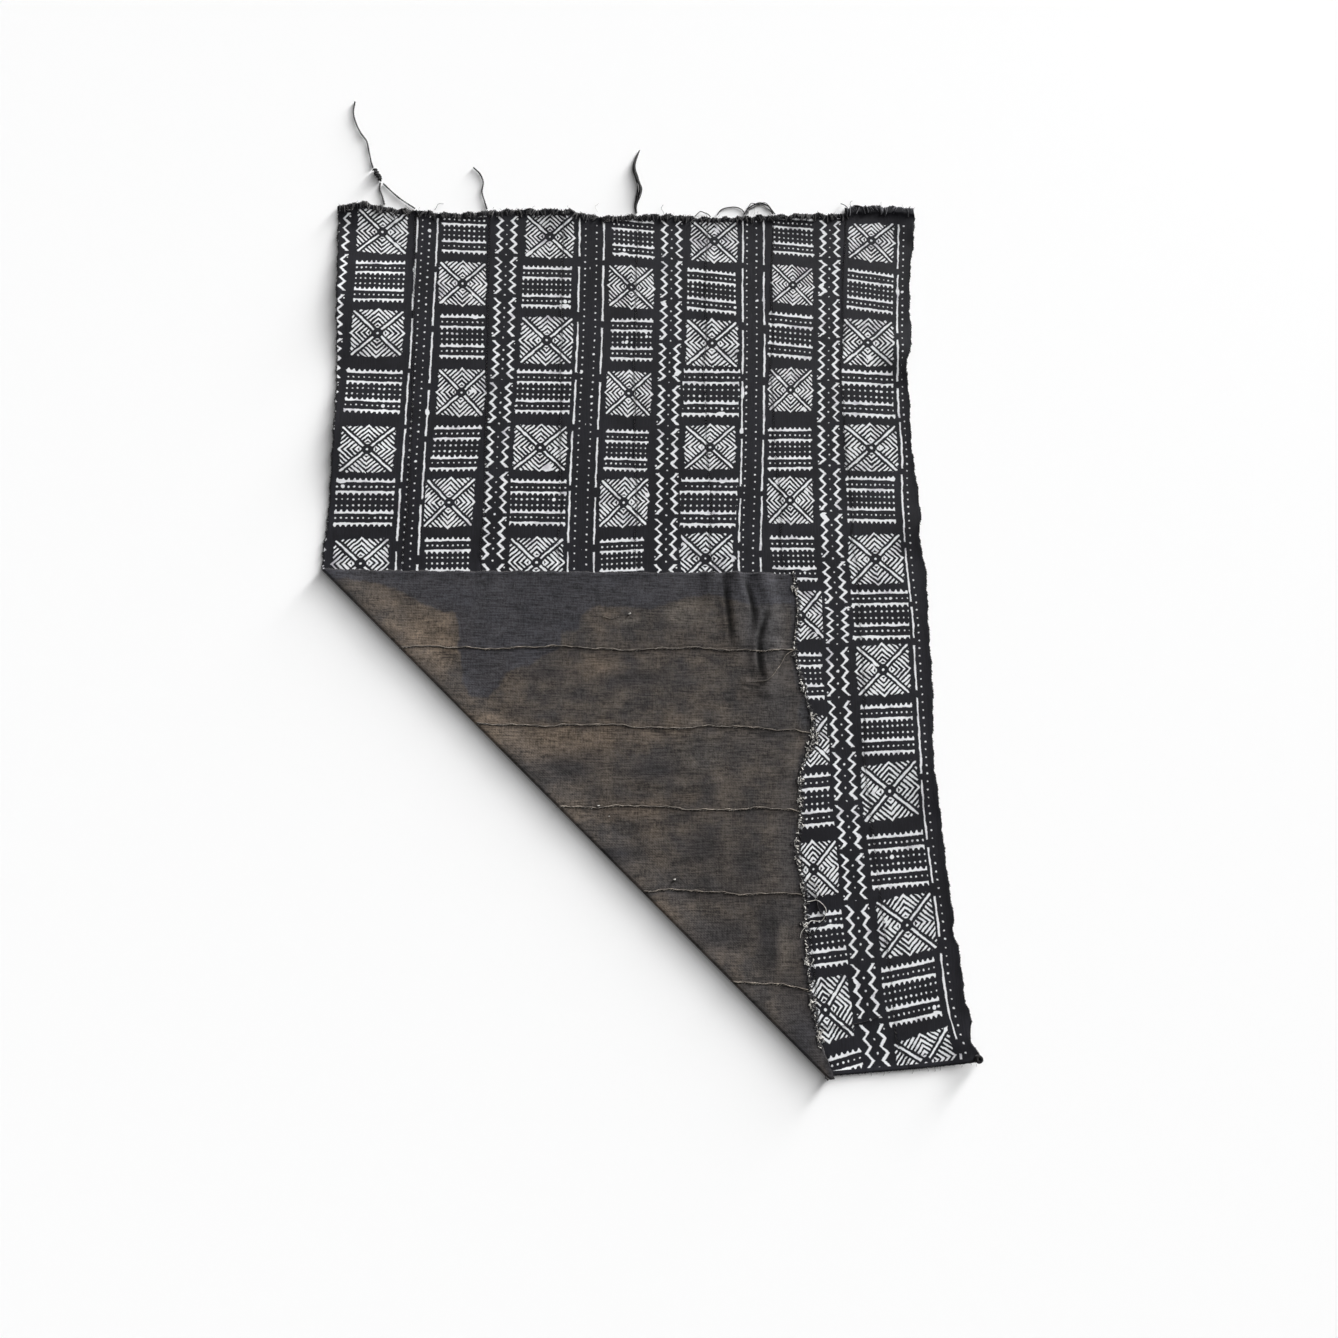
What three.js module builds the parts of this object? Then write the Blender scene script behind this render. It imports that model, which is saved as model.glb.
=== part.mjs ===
// Mud cloth: eight woven cotton strips sewn edge to edge, lying flat with one lower corner folded over.
// Millimetres, +Z up. X runs across the strips, Y up along them, and the surface it lies on is z = 0.
// The origin is under the middle of the cloth.
import * as THREE from 'three';

// Driving dimensions
const clothLength = 1510; // along the strips, between the ends
const clothThickness = 2; // heavy hand-spun cotton
const stripCount = 8;
const seamGap = 0.3; // between two strips, closed by the stitches
const foldedStrips = 6; // strips that the fold runs through, counted from the left
const foldRadius = 3; // of the middle of the cloth, round the fold
const layerGap = 0.8; // between the folded corner and the cloth under it
const settleLength = 45; // from the fold to where the corner has sunk onto the cloth
const tipLength = 3; // of strip 6 that still lies flat past the end of the fold
const rimWidth = 9; // of the overcast edge
const rimHeight = 1.4; // of the overcast edge above the cloth
const hemLength = 14; // of the rolled hem that strip 8 has beyond the others
const hemHeight = 3; // of that hem above the cloth
const middleX = -0.4; // from the tables' zero to the middle of the folded cloth
const middleY = -1.5;

// Steps of the faceted surface
const baseRows = 32;
const bendRows = 6;
const flapRows = 20;
const innerColumns = [0, 0.25, 0.5, 0.75, 1];

// The long sides as they lie, from the lower end up
const sideEdges = [
  { y: -790, left: -541, right: 508 },
  { y: -764, left: -541, right: 512 },
  { y: -744, left: -541, right: 519 },
  { y: -714, left: -541, right: 503 },
  { y: -606, left: -541, right: 500 },
  { y: -480, left: -537, right: 491 },
  { y: -340, left: -535, right: 485 },
  { y: -275, left: -534, right: 481 },
  { y: -159, left: -531, right: 490 },
  { y: -41, left: -529, right: 492 },
  { y: 60, left: -528, right: 495 },
  { y: 112, left: -525, right: 488 },
  { y: 166, left: -520, right: 494 },
  { y: 290, left: -516, right: 488 },
  { y: 375, left: -514, right: 491 },
  { y: 441, left: -515, right: 490 },
  { y: 490, left: -516, right: 503 },
  { y: 550, left: -518, right: 505 },
  { y: 630, left: -519, right: 512 },
  { y: 690, left: -521, right: 523 },
  { y: 745, left: -522, right: 527 },
];

// Each seam's share of the width at the lower and the upper end, strip borders 0 to 8
const seamShares = [
  { seam: 0, lower: 0, upper: 0 },
  { seam: 1, lower: 0.129, upper: 0.129 },
  { seam: 2, lower: 0.256, upper: 0.255 },
  { seam: 3, lower: 0.384, upper: 0.382 },
  { seam: 4, lower: 0.511, upper: 0.511 },
  { seam: 5, lower: 0.645, upper: 0.632 },
  { seam: 6, lower: 0.773, upper: 0.748 },
  { seam: 7, lower: 0.889, upper: 0.877 },
  { seam: 8, lower: 1, upper: 1 },
];

// The upper ends of the strips, wavy where the hem pulls
const upperEnd = [
  { seam: 0, y: 741 },
  { seam: 0.3, y: 749 },
  { seam: 0.6, y: 742 },
  { seam: 1, y: 737 },
  { seam: 1.5, y: 732 },
  { seam: 2, y: 738 },
  { seam: 2.5, y: 742 },
  { seam: 3, y: 741 },
  { seam: 3.5, y: 731 },
  { seam: 4, y: 735 },
  { seam: 4.5, y: 736 },
  { seam: 5, y: 731 },
  { seam: 6, y: 738 },
  { seam: 7, y: 743 },
  { seam: 7.5, y: 746 },
  { seam: 8, y: 741 },
];

// The raw lower ends of the strips that are folded over
const rawEnd = [
  { seam: 0, y: -722 },
  { seam: 0.5, y: -728 },
  { seam: 1, y: -721 },
  { seam: 1.5, y: -737 },
  { seam: 2, y: -750 },
  { seam: 2.5, y: -728 },
  { seam: 3, y: -727 },
  { seam: 3.5, y: -720 },
  { seam: 4, y: -730 },
  { seam: 4.5, y: -732 },
  { seam: 5, y: -737 },
  { seam: 5.5, y: -750 },
];

// How far the hemmed lower end of the last two strips lies above the tip of the fold
const hemmedEnd = [
  { seam: 6, rise: 0 },
  { seam: 6.5, rise: 2 },
  { seam: 7, rise: 4 },
  { seam: 7.5, rise: 7 },
  { seam: 8, rise: 12 },
];

// Outermost points of the fold, at the left side and at the lower end
const foldUpper = { x: -528, y: 70 };
const foldLower = { x: 275, y: -764 };

// Places where the single cloth stands a little off the surface
const lifts = [
  { x: -522, y: 560, reach: 150, height: 6 },
  { x: -516, y: 300, reach: 140, height: 5 },
  { x: -482, y: 748, reach: 55, height: 4 },
  { x: -120, y: 742, reach: 60, height: 3 },
  { x: 330, y: 743, reach: 60, height: 3 },
  { x: 524, y: 735, reach: 60, height: 4 },
  { x: 496, y: 462, reach: 70, height: 5 },
  { x: 492, y: 130, reach: 60, height: 3 },
  { x: 484, y: -300, reach: 80, height: 4 },
  { x: 510, y: -735, reach: 60, height: 6 },
];

// Soft ridges of the folded corner, between its creases
const ridges = [
  { fromX: 164, fromY: 75, toX: 168, toY: -60, halfWidth: 22, height: 5 },
  { fromX: 205, fromY: 70, toX: 222, toY: -40, halfWidth: 26, height: 5 },
  { fromX: 222, fromY: -70, toX: 208, toY: -150, halfWidth: 20, height: 4 },
  { fromX: 120, fromY: 75, toX: 118, toY: 5, halfWidth: 20, height: 3 },
];

const clamp = THREE.MathUtils.clamp;
const lerp = THREE.MathUtils.lerp;

// Reads a column of a table at a place between its rows, on a smooth curve
function along(table, key, column, at) {
  let i = 0;
  while (i < table.length - 2 && at > table[i + 1][key]) i += 1;
  const low = table[i];
  const high = table[i + 1];
  const before = table[Math.max(i - 1, 0)];
  const after = table[Math.min(i + 2, table.length - 1)];
  const span = high[key] - low[key];
  const u = clamp((at - low[key]) / span, 0, 1);
  const slopeLow = ((high[column] - before[column]) / (high[key] - before[key])) * span;
  const slopeHigh = ((after[column] - low[column]) / (after[key] - low[key])) * span;
  const v = 1 - u;
  return low[column] * (1 + 2 * u) * v * v + high[column] * (1 + 2 * v) * u * u
    + slopeLow * u * v * v - slopeHigh * v * u * u;
}

// A bump that fades from 1 in the middle to 0 at its reach
function bump(distance, reach) {
  return distance < reach ? (1 - (distance / reach) ** 2) ** 2 : 0;
}

// X of a strip border, or of a place between two, before the corner is folded
function acrossAt(seam, y) {
  const left = along(sideEdges, 'y', 'left', y);
  const right = along(sideEdges, 'y', 'right', y);
  const lower = along(seamShares, 'seam', 'lower', seam);
  const upper = along(seamShares, 'seam', 'upper', seam);
  const share = lerp(lower, upper, clamp(y / clothLength + 0.5, 0, 1));
  return lerp(left, right, share);
}

// The fold line's direction, and the way across it towards the folded corner
const foldSpan = Math.hypot(foldLower.x - foldUpper.x, foldLower.y - foldUpper.y);
const acrossFold = {
  x: (foldLower.y - foldUpper.y) / foldSpan,
  y: (foldUpper.x - foldLower.x) / foldSpan,
};
const bendLength = Math.PI * foldRadius;

// Distance past the line where the cloth begins to bend, along the unfolded cloth
function pastFold(x, y) {
  const outermost = (x - foldUpper.x) * acrossFold.x + (y - foldUpper.y) * acrossFold.y;
  return outermost + foldRadius + clothThickness / 2;
}

// Y at which a line along the strips reaches a distance past the fold
function foldCrossing(seam, distance) {
  let y = 0;
  for (let i = 0; i < 40; i += 1) {
    y += (distance - pastFold(acrossAt(seam, y), y)) / acrossFold.y;
  }
  return y;
}

function liftAt(x, y) {
  let height = 0;
  for (const lift of lifts) {
    height += lift.height * bump(Math.hypot(x - lift.x, y - lift.y), lift.reach);
  }
  return height;
}

function ridgeAt(x, y) {
  let height = 0;
  for (const ridge of ridges) {
    const runX = ridge.toX - ridge.fromX;
    const runY = ridge.toY - ridge.fromY;
    const run = ((x - ridge.fromX) * runX + (y - ridge.fromY) * runY) / (runX * runX + runY * runY);
    const u = clamp(run, 0, 1);
    const off = Math.hypot(x - ridge.fromX - u * runX, y - ridge.fromY - u * runY);
    height += ridge.height * (1 - 0.6 * u) * bump(off, ridge.halfWidth);
  }
  return height;
}

// Where a point of the unfolded cloth lies: the middle of its thickness, and the way its front faces
function layCloth(x, y) {
  const past = pastFold(x, y);
  const angle = clamp(past / foldRadius, 0, Math.PI);
  const beyond = Math.max(past - bendLength, 0);
  const flat = Math.min(past, 0);
  const back = past - flat + beyond - foldRadius * Math.sin(angle);
  const placeX = x - acrossFold.x * back;
  const placeY = y - acrossFold.y * back;
  let z = clothThickness / 2 + foldRadius * (1 - Math.cos(angle));
  if (beyond > 0) {
    const settled = THREE.MathUtils.smoothstep(beyond, 0, settleLength);
    z -= settled * (2 * foldRadius - clothThickness - layerGap);
    z += ridgeAt(placeX, placeY);
  }
  z += liftAt(placeX, placeY);
  return {
    middle: new THREE.Vector3(placeX, placeY, z),
    front: new THREE.Vector3(-acrossFold.x * Math.sin(angle), -acrossFold.y * Math.sin(angle), Math.cos(angle)),
    turned: angle / Math.PI,
  };
}

// The rows of a strip at one line along it, from the upper end to the lower: y and what stands on the edge
function rowsAt(seam, strip) {
  const top = along(upperEnd, 'seam', 'y', seam);
  const last = strip === stripCount;
  const folded = strip <= foldedStrips;
  const edge = last ? hemHeight : rimHeight;
  const rows = last ? [{ y: top + hemLength, rim: 0.5 * edge }, { y: top + 0.7 * hemLength, rim: edge }] : [];
  rows.push({ y: top, rim: last ? edge : 0 });
  rows.push({ y: top - 0.4 * rimWidth, rim: last ? 0.3 * edge : edge });
  rows.push({ y: top - rimWidth, rim: 0 });
  const bottom = folded
    ? foldCrossing(seam, 0)
    : foldCrossing(foldedStrips, 0) + along(hemmedEnd, 'seam', 'rise', seam);
  for (let i = 1; i <= baseRows; i += 1) {
    rows.push({ y: lerp(top, bottom, i / baseRows), rim: 0 });
  }
  if (!folded) {
    rows.splice(-1, 0, { y: bottom + rimWidth, rim: 0 }, { y: bottom + 0.4 * rimWidth, rim: rimHeight });
    return rows;
  }
  for (let i = 1; i <= bendRows; i += 1) {
    rows.push({ y: foldCrossing(seam, (bendLength * i) / bendRows), rim: 0 });
  }
  const start = rows.at(-1).y;
  const tip = foldCrossing(foldedStrips, bendLength + tipLength);
  const blend = clamp((seam - 5.5) * 2, 0, 1);
  const end = lerp(along(rawEnd, 'seam', 'y', Math.min(seam, 5.5)), tip, blend);
  for (let i = 1; i <= flapRows; i += 1) {
    rows.push({ y: lerp(start, end, 1 - (1 - i / flapRows) ** 1.4), rim: 0 });
  }
  return rows;
}

// One woven strip as a closed solid
function stripGeometry(strip) {
  const width = acrossAt(strip, 0) - acrossAt(strip - 1, 0);
  const outer = rimWidth / width;
  let columns = innerColumns;
  if (strip === 1) columns = [0, 0.4 * outer, outer, ...innerColumns.slice(1)];
  if (strip === stripCount) columns = [...innerColumns.slice(0, -1), 1 - outer, 1 - 0.4 * outer, 1];
  const raised = strip === 1 ? 1 : columns.length - 2;
  const lines = columns.map((column) => rowsAt(strip - 1 + column, strip));
  const rowCount = lines[0].length;
  const columnCount = columns.length;
  const places = [];
  for (let row = 0; row < rowCount; row += 1) {
    columns.forEach((column, c) => {
      const { y, rim } = lines[c][row];
      const x = acrossAt(strip - 1 + column, y) + seamGap * (0.5 - column);
      const { middle, front, turned } = layCloth(x, y);
      const onSide = (strip === 1 || strip === stripCount) && c === raised;
      const thick = onSide ? Math.max(rim, rimHeight) : rim;
      const half = clothThickness / 2;
      places.push(middle.clone().addScaledVector(front, half + thick * (1 - turned)));
      places.push(middle.clone().addScaledVector(front, -half - thick * turned));
    });
  }
  const index = [];
  const at = (row, column, side) => 2 * (row * columnCount + column) + side;
  const quad = (a, b, c, d) => index.push(a, b, c, a, c, d);
  for (let r = 0; r < rowCount - 1; r += 1) {
    for (let c = 0; c < columnCount - 1; c += 1) {
      quad(at(r, c, 0), at(r + 1, c, 0), at(r + 1, c + 1, 0), at(r, c + 1, 0));
      quad(at(r, c, 1), at(r, c + 1, 1), at(r + 1, c + 1, 1), at(r + 1, c, 1));
    }
    const e = columnCount - 1;
    quad(at(r, 0, 0), at(r, 0, 1), at(r + 1, 0, 1), at(r + 1, 0, 0));
    quad(at(r, e, 0), at(r + 1, e, 0), at(r + 1, e, 1), at(r, e, 1));
  }
  for (let c = 0; c < columnCount - 1; c += 1) {
    const e = rowCount - 1;
    quad(at(0, c, 0), at(0, c + 1, 0), at(0, c + 1, 1), at(0, c, 1));
    quad(at(e, c, 0), at(e, c, 1), at(e, c + 1, 1), at(e, c + 1, 0));
  }
  const geometry = new THREE.BufferGeometry();
  geometry.setAttribute('position', new THREE.Float32BufferAttribute(places.flatMap((p) => p.toArray()), 3));
  geometry.setIndex(index);
  return geometry;
}

// Loose yarn at the upper edge, each from where it leaves the cloth or the knot
const yarnRadius = 1.25;
const yarnRoutes = {
  yarn_leg_left: [[-441, 748.5], [-445, 764], [-450, 779], [-449.5, 792]],
  yarn_leg_right: [[-387, 741.5], [-414, 761], [-431, 777], [-444, 790.5]],
  yarn_tail: [
    [-463, 822.5], [-466, 832], [-471, 855], [-476, 877], [-486, 892], [-495, 911], [-501, 934], [-499, 958],
  ],
  yarn_short: [[-259, 742.5], [-263, 757], [-268, 777], [-266, 797], [-272, 814], [-284, 827]],
};
const yarnSteps = 4; // for each stretch between two points of a route

function yarnGeometry(route) {
  const curve = new THREE.CatmullRomCurve3(route.map(([x, y]) => new THREE.Vector3(x, y, yarnRadius)));
  const section = new THREE.Shape();
  section.absarc(0, 0, yarnRadius, 0, 2 * Math.PI);
  return new THREE.ExtrudeGeometry(section, {
    steps: yarnSteps * (route.length - 1),
    extrudePath: curve,
    curveSegments: 4, // eight sides
  });
}

// The thick frayed end: a flattened spindle along its route
const tuftSections = [
  { x: 11, y: 739.5, halfWidth: 1.8 },
  { x: 10, y: 755, halfWidth: 2.4 },
  { x: 13, y: 770, halfWidth: 4.4 },
  { x: 17, y: 788, halfWidth: 6.2 },
  { x: 13, y: 808, halfWidth: 4.6 },
  { x: 8, y: 828, halfWidth: 3.8 },
  { x: 12, y: 850, halfWidth: 2.4 },
  { x: 20, y: 870, halfWidth: 0.9 },
];
const tuftFlatness = 0.6;
const tuftSides = 8;

function tuftGeometry() {
  const curve = new THREE.CatmullRomCurve3(tuftSections.map(({ x, y }) => new THREE.Vector3(x, y, 0)));
  const steps = 4 * (tuftSections.length - 1);
  const places = [];
  const index = [];
  for (let i = 0; i <= steps; i += 1) {
    const at = curve.getPoint(i / steps);
    const ahead = curve.getTangent(i / steps);
    const halfWidth = along(tuftSections, 'y', 'halfWidth', at.y);
    const halfHeight = Math.max(halfWidth * tuftFlatness, 0.7);
    for (let side = 0; side < tuftSides; side += 1) {
      const angle = (2 * Math.PI * side) / tuftSides;
      const out = halfWidth * Math.cos(angle);
      places.push(at.x + ahead.y * out, at.y - ahead.x * out, halfHeight * (1 + Math.sin(angle)));
      const next = (side + 1) % tuftSides;
      const ring = i * tuftSides;
      if (i === steps) continue;
      index.push(ring + side, ring + tuftSides + next, ring + next);
      index.push(ring + side, ring + tuftSides + side, ring + tuftSides + next);
    }
  }
  for (let side = 1; side < tuftSides - 1; side += 1) {
    const ring = steps * tuftSides;
    index.push(0, side, side + 1);
    index.push(ring, ring + side + 1, ring + side);
  }
  const geometry = new THREE.BufferGeometry();
  geometry.setAttribute('position', new THREE.Float32BufferAttribute(places, 3));
  geometry.setIndex(index);
  return geometry;
}

// The knot: a lumpy bean, flat where it lies
const knot = { x: -454.5, y: 807, halfLength: 15.5, halfWidth: 6.5, halfHeight: 4, turn: THREE.MathUtils.degToRad(118) };

function knotGeometry() {
  const geometry = new THREE.SphereGeometry(1, 14, 9);
  geometry.rotateX(Math.PI / 2);
  const place = geometry.attributes.position;
  for (let i = 0; i < place.count; i += 1) {
    const x = place.getX(i);
    const y = place.getY(i);
    const z = place.getZ(i);
    const lump = 1 + 0.12 * Math.sin(5 * x) * Math.cos(4 * y);
    place.setXYZ(i, knot.halfLength * x * lump, knot.halfWidth * y * lump, Math.max(z * lump, -0.8));
    place.setZ(i, (place.getZ(i) + 0.8) * knot.halfHeight);
  }
  geometry.rotateZ(knot.turn);
  geometry.translate(knot.x, knot.y, 0);
  return geometry;
}

function clothMaterial(colour) {
  return new THREE.MeshStandardMaterial({ color: colour, roughness: 0.95, metalness: 0 });
}

const mudCloth = new THREE.Group();
mudCloth.position.set(-middleX, -middleY, 0);

function addPiece(name, geometry, material) {
  const piece = new THREE.Mesh(geometry, material);
  piece.name = name;
  mudCloth.add(piece);
}

const dyedCotton = clothMaterial(0x2b2a2e);
const yarn = clothMaterial(0x3a393b);

for (let strip = 1; strip <= stripCount; strip += 1) {
  addPiece(`strip_${strip}`, stripGeometry(strip), dyedCotton);
}
for (const [name, route] of Object.entries(yarnRoutes)) {
  addPiece(name, yarnGeometry(route), yarn);
}
addPiece('yarn_knot', knotGeometry(), yarn);
addPiece('yarn_tuft', tuftGeometry(), yarn);

export default mudCloth;
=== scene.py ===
# Mud cloth: eight woven cotton strips sewn side by side, dyed on the front, one lower corner folded over.
# Tables are in millimetres from the middle of the cloth, finished meshes in metres in the frame of the model.
import math

import bpy
import numpy as np
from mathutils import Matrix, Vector


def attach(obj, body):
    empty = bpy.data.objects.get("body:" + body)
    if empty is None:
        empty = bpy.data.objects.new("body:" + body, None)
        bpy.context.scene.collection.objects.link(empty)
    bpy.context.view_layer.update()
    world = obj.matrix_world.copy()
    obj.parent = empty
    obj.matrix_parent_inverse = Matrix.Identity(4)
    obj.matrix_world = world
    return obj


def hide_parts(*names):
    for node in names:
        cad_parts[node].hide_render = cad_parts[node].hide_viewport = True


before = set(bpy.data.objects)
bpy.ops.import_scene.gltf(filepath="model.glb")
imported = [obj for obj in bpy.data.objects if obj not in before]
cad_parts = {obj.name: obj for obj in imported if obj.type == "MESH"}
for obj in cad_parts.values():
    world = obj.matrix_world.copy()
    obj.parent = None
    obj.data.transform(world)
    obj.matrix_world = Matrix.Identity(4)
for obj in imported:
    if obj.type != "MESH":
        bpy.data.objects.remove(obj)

for name in ("Cube", "Light", "Camera"):  # Blender's starting objects
    if name in bpy.data.objects:
        bpy.data.objects.remove(bpy.data.objects[name])
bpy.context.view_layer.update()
scene = bpy.context.scene
metres = 0.001
middle = np.array([0.4, 1.5, 0.0])  # from the tables' zero to the frame's
floorGap = 0.05  # mm between the lowest threads and the floor

# Camera, where the photograph was taken from

camera = {
    "place": (-0.068, -0.4042, 1.579),
    "turn": (10.762, -3.783, -1.731),  # degrees
    "lens": 25.99,
}
cameraData = bpy.data.cameras.new("camera")
cameraData.lens = camera["lens"]
cameraData.sensor_width = 36
cameraData.clip_start, cameraData.clip_end = 0.05, 60
cameraObject = bpy.data.objects.new("camera", cameraData)
cameraObject.location = camera["place"]
cameraObject.rotation_euler = [math.radians(angle) for angle in camera["turn"]]
scene.collection.objects.link(cameraObject)
scene.camera = cameraObject
print("camera placed")


# Nodes, colours and plain meshes


def linearColour(hexCode):
    # sRGB hex to linear
    parts = [int(hexCode[i:i + 2], 16) / 255 for i in (1, 3, 5)]
    return (*[p / 12.92 if p <= 0.04045 else ((p + 0.055) / 1.055) ** 2.4 for p in parts], 1)


def addNode(tree, kind, inputs=(), **settings):
    node = tree.nodes.new(kind)
    for name, value in settings.items():
        setattr(node, name, value)
    for key, value in inputs.items() if isinstance(inputs, dict) else enumerate(inputs):
        if isinstance(value, bpy.types.Node):
            value = value.outputs[0]
        if isinstance(value, bpy.types.NodeSocket):
            tree.links.new(value, node.inputs[key])
        elif value is not None:
            node.inputs[key].default_value = value
    return node


def newMaterial(name):
    material = bpy.data.materials.new(name)
    material.use_nodes = True
    material.node_tree.nodes.clear()
    return material


def newPiece(name, places, faces, materials):
    # places in millimetres of the tables
    mesh = bpy.data.meshes.new(name)
    mesh.from_pydata(((np.asarray(places) + middle) * metres).tolist(), [], faces)
    for material in materials:
        mesh.materials.append(material)
    mesh.polygons.foreach_set("use_smooth", [True] * len(mesh.polygons))
    piece = bpy.data.objects.new(name, mesh)
    scene.collection.objects.link(piece)
    return piece


# Lines through points, and round threads along them


def smoothLine(points, steps):
    # Centripetal curve through the points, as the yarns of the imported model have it
    points = np.asarray(points, float)
    ends = np.vstack([2 * points[0] - points[1], points, 2 * points[-1] - points[-2]])
    gaps = np.sqrt(np.linalg.norm(np.diff(ends, axis=0), axis=1))
    u = (np.arange(steps) / steps)[:, None]
    line = []
    for i in range(1, len(points)):
        a, b, c, d = ends[i - 1:i + 3]
        g, h, k = gaps[i - 1:i + 2]
        leave = ((b - a) / g - (c - a) / (g + h) + (c - b) / h) * h
        reach = ((c - b) / h - (d - b) / (h + k) + (d - c) / k) * h
        line.append(b + leave * u + (3 * (c - b) - 2 * leave - reach) * u ** 2
                    + (2 * (b - c) + leave + reach) * u ** 3)
    return np.vstack([*line, points[-1:]])


def sectionAxes(line):
    # Two directions across a line at each point, without sudden turns
    ahead = np.gradient(line, axis=0)
    ahead /= np.linalg.norm(ahead, axis=1)[:, None]
    up = np.array([0.0, 0.0, 1.0])
    if abs(ahead[0] @ up) > 0.9:
        up = np.array([1.0, 0.0, 0.0])
    across = []
    for direction in ahead:
        up = up - direction * (up @ direction)
        up /= np.linalg.norm(up)
        across.append(up.copy())
    across = np.array(across)
    return across, np.cross(ahead, across)


def threadMesh(line, radius, sides=6):
    # A closed round thread: radius is one number or one for each point
    radius = np.broadcast_to(radius, len(line))[:, None, None]
    up, side = sectionAxes(line)
    angle = np.arange(sides) * 2 * math.pi / sides
    ring = np.cos(angle)[None, :, None] * up[:, None] + np.sin(angle)[None, :, None] * side[:, None]
    places = (line[:, None] + radius * ring).reshape(-1, 3)
    faces = [
        [i * sides + s, i * sides + (s + 1) % sides, (i + 1) * sides + (s + 1) % sides, (i + 1) * sides + s]
        for i in range(len(line) - 1) for s in range(sides)
    ]
    last = (len(line) - 1) * sides
    faces.append(list(range(sides))[::-1])
    faces.append([last + s for s in range(sides)])
    return places, faces


def joinMeshes(parts):
    places, faces, start = [], [], 0
    for partPlaces, partFaces in parts:
        places.append(partPlaces)
        faces += [[i + start for i in face] for face in partFaces]
        start += len(partPlaces)
    return np.vstack(places), faces


spinning = {  # shares of a yarn's radius, and mm
    "plyOffset": 0.48,
    "plyRadius": 0.56,
    "swell": 0.1,
    "swellLength": 5.3,
    "hairReach": (1.2, 2.3),
    "hairRadius": 0.09,
}


def pliedYarn(line, radius, plies, twist, hair, chance):
    # Plies twisted round each other, with hairs that stand off
    step = np.linalg.norm(np.diff(line, axis=0), axis=1)
    run = np.concatenate([[0], np.cumsum(step)])
    up, side = sectionAxes(line)
    parts = []
    for ply in range(plies):
        angle = (2 * math.pi * (run / twist + ply / plies))[:, None]
        swell = 1 + spinning["swell"] * np.sin(run / spinning["swellLength"] + ply)[:, None]
        outwards = np.cos(angle) * up + np.sin(angle) * side
        centre = line + spinning["plyOffset"] * radius * swell * outwards
        parts.append(threadMesh(centre, spinning["plyRadius"] * radius * swell[:, 0], 7))
    for _ in range(int(hair * run[-1])):
        i = chance.integers(2, len(line) - 2)
        out = chance.normal(size=3) * [1, 1, 0.45]
        out /= np.linalg.norm(out)
        ahead = (line[i + 1] - line[i - 1]) / np.linalg.norm(line[i + 1] - line[i - 1])
        reach = chance.uniform(*spinning["hairReach"])
        curl = np.clip(chance.normal(size=3) * 0.3, -0.5, 0.5)
        t = np.linspace(0, 1, 5)[:, None]
        hairLine = line[i] + out * reach * t + ahead * reach * 0.6 * t ** 2 + curl * t ** 2
        parts.append(threadMesh(hairLine, spinning["hairRadius"], 3))
    return joinMeshes(parts)


# Loose yarns, twisted from the dark cotton of the edge stitches

yarnFinish = {
    "dark": "#131215",
    "light": "#3C3A38",  # worn hairs of the dyed yarn
    "streak": 1.1,  # mm between plies
    "roughness": 0.95,
    "sheen": 0.25,
}


def spunCotton(name, finish):
    # Spun cotton: matt, with light fibres over the dye, and a soft sheen at grazing angles
    material = newMaterial(name)
    tree = material.node_tree
    place = addNode(tree, "ShaderNodeTexCoord").outputs["Object"]
    fibre = addNode(tree, "ShaderNodeTexNoise", {
        "Vector": place, "Scale": 1000 / finish["streak"], "Detail": 3.0, "Roughness": 0.65})
    cloud = addNode(tree, "ShaderNodeTexNoise", {"Vector": place, "Scale": 1000 / 14, "Detail": 2.0})
    mixed = addNode(tree, "ShaderNodeMath", [fibre, cloud], operation="MULTIPLY")
    share = addNode(tree, "ShaderNodeMapRange", [mixed, 0.24, 0.46, 0.0, 1.0])
    colour = addNode(tree, "ShaderNodeMix", {
        0: share, 6: linearColour(finish["dark"]), 7: linearColour(finish["light"])}, data_type="RGBA")
    bump = addNode(tree, "ShaderNodeBump", {"Strength": 0.5, "Distance": 0.0003, "Height": fibre.outputs[0]})
    shader = addNode(tree, "ShaderNodeBsdfPrincipled", {
        "Base Color": colour.outputs[2], "Roughness": finish["roughness"], "Specular IOR Level": 0.2,
        "Sheen Weight": finish["sheen"], "Normal": bump})
    addNode(tree, "ShaderNodeOutputMaterial", [shader])
    return material


yarnCotton = spunCotton("twisted dyed cotton yarn", yarnFinish)

yarns = {
    "radius": 1.5,
    "plies": 2,
    "twist": 7.0,  # mm for a whole turn
    "hair": 0.7,  # hairs for each mm
    "routes": {  # node: line through x, y, length in metres, far end
        "yarn_leg_left": ([(-441, 748.5), (-445, 764), (-450, 779), (-449.5, 792)], 0.045, "knot"),
        "yarn_leg_right": ([(-387, 741.5), (-414, 761), (-431, 777), (-444, 790.5)], 0.075, "knot"),
        "yarn_tail": ([(-463, 822.5), (-466, 832), (-471, 855), (-476, 877), (-486, 892), (-495, 911),
                       (-501, 934), (-499, 958)], 0.143, "bare"),
        "yarn_short": ([(-259, 742.5), (-263, 757), (-268, 777), (-266, 797), (-272, 814), (-284, 827)],
                       0.092, "bare"),
    },
}
chance = np.random.default_rng(11)

knot = {  # one yarn wound round the others and pulled tight
    "x": -454.5, "y": 807.0, "turn": 118,  # degrees
    "halfLength": 11.5, "winding": 3.2, "turns": 4.5, "thread": 1.5,
    "height": 3.4, "top": 7.35, "flatness": 0.55,
}


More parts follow.
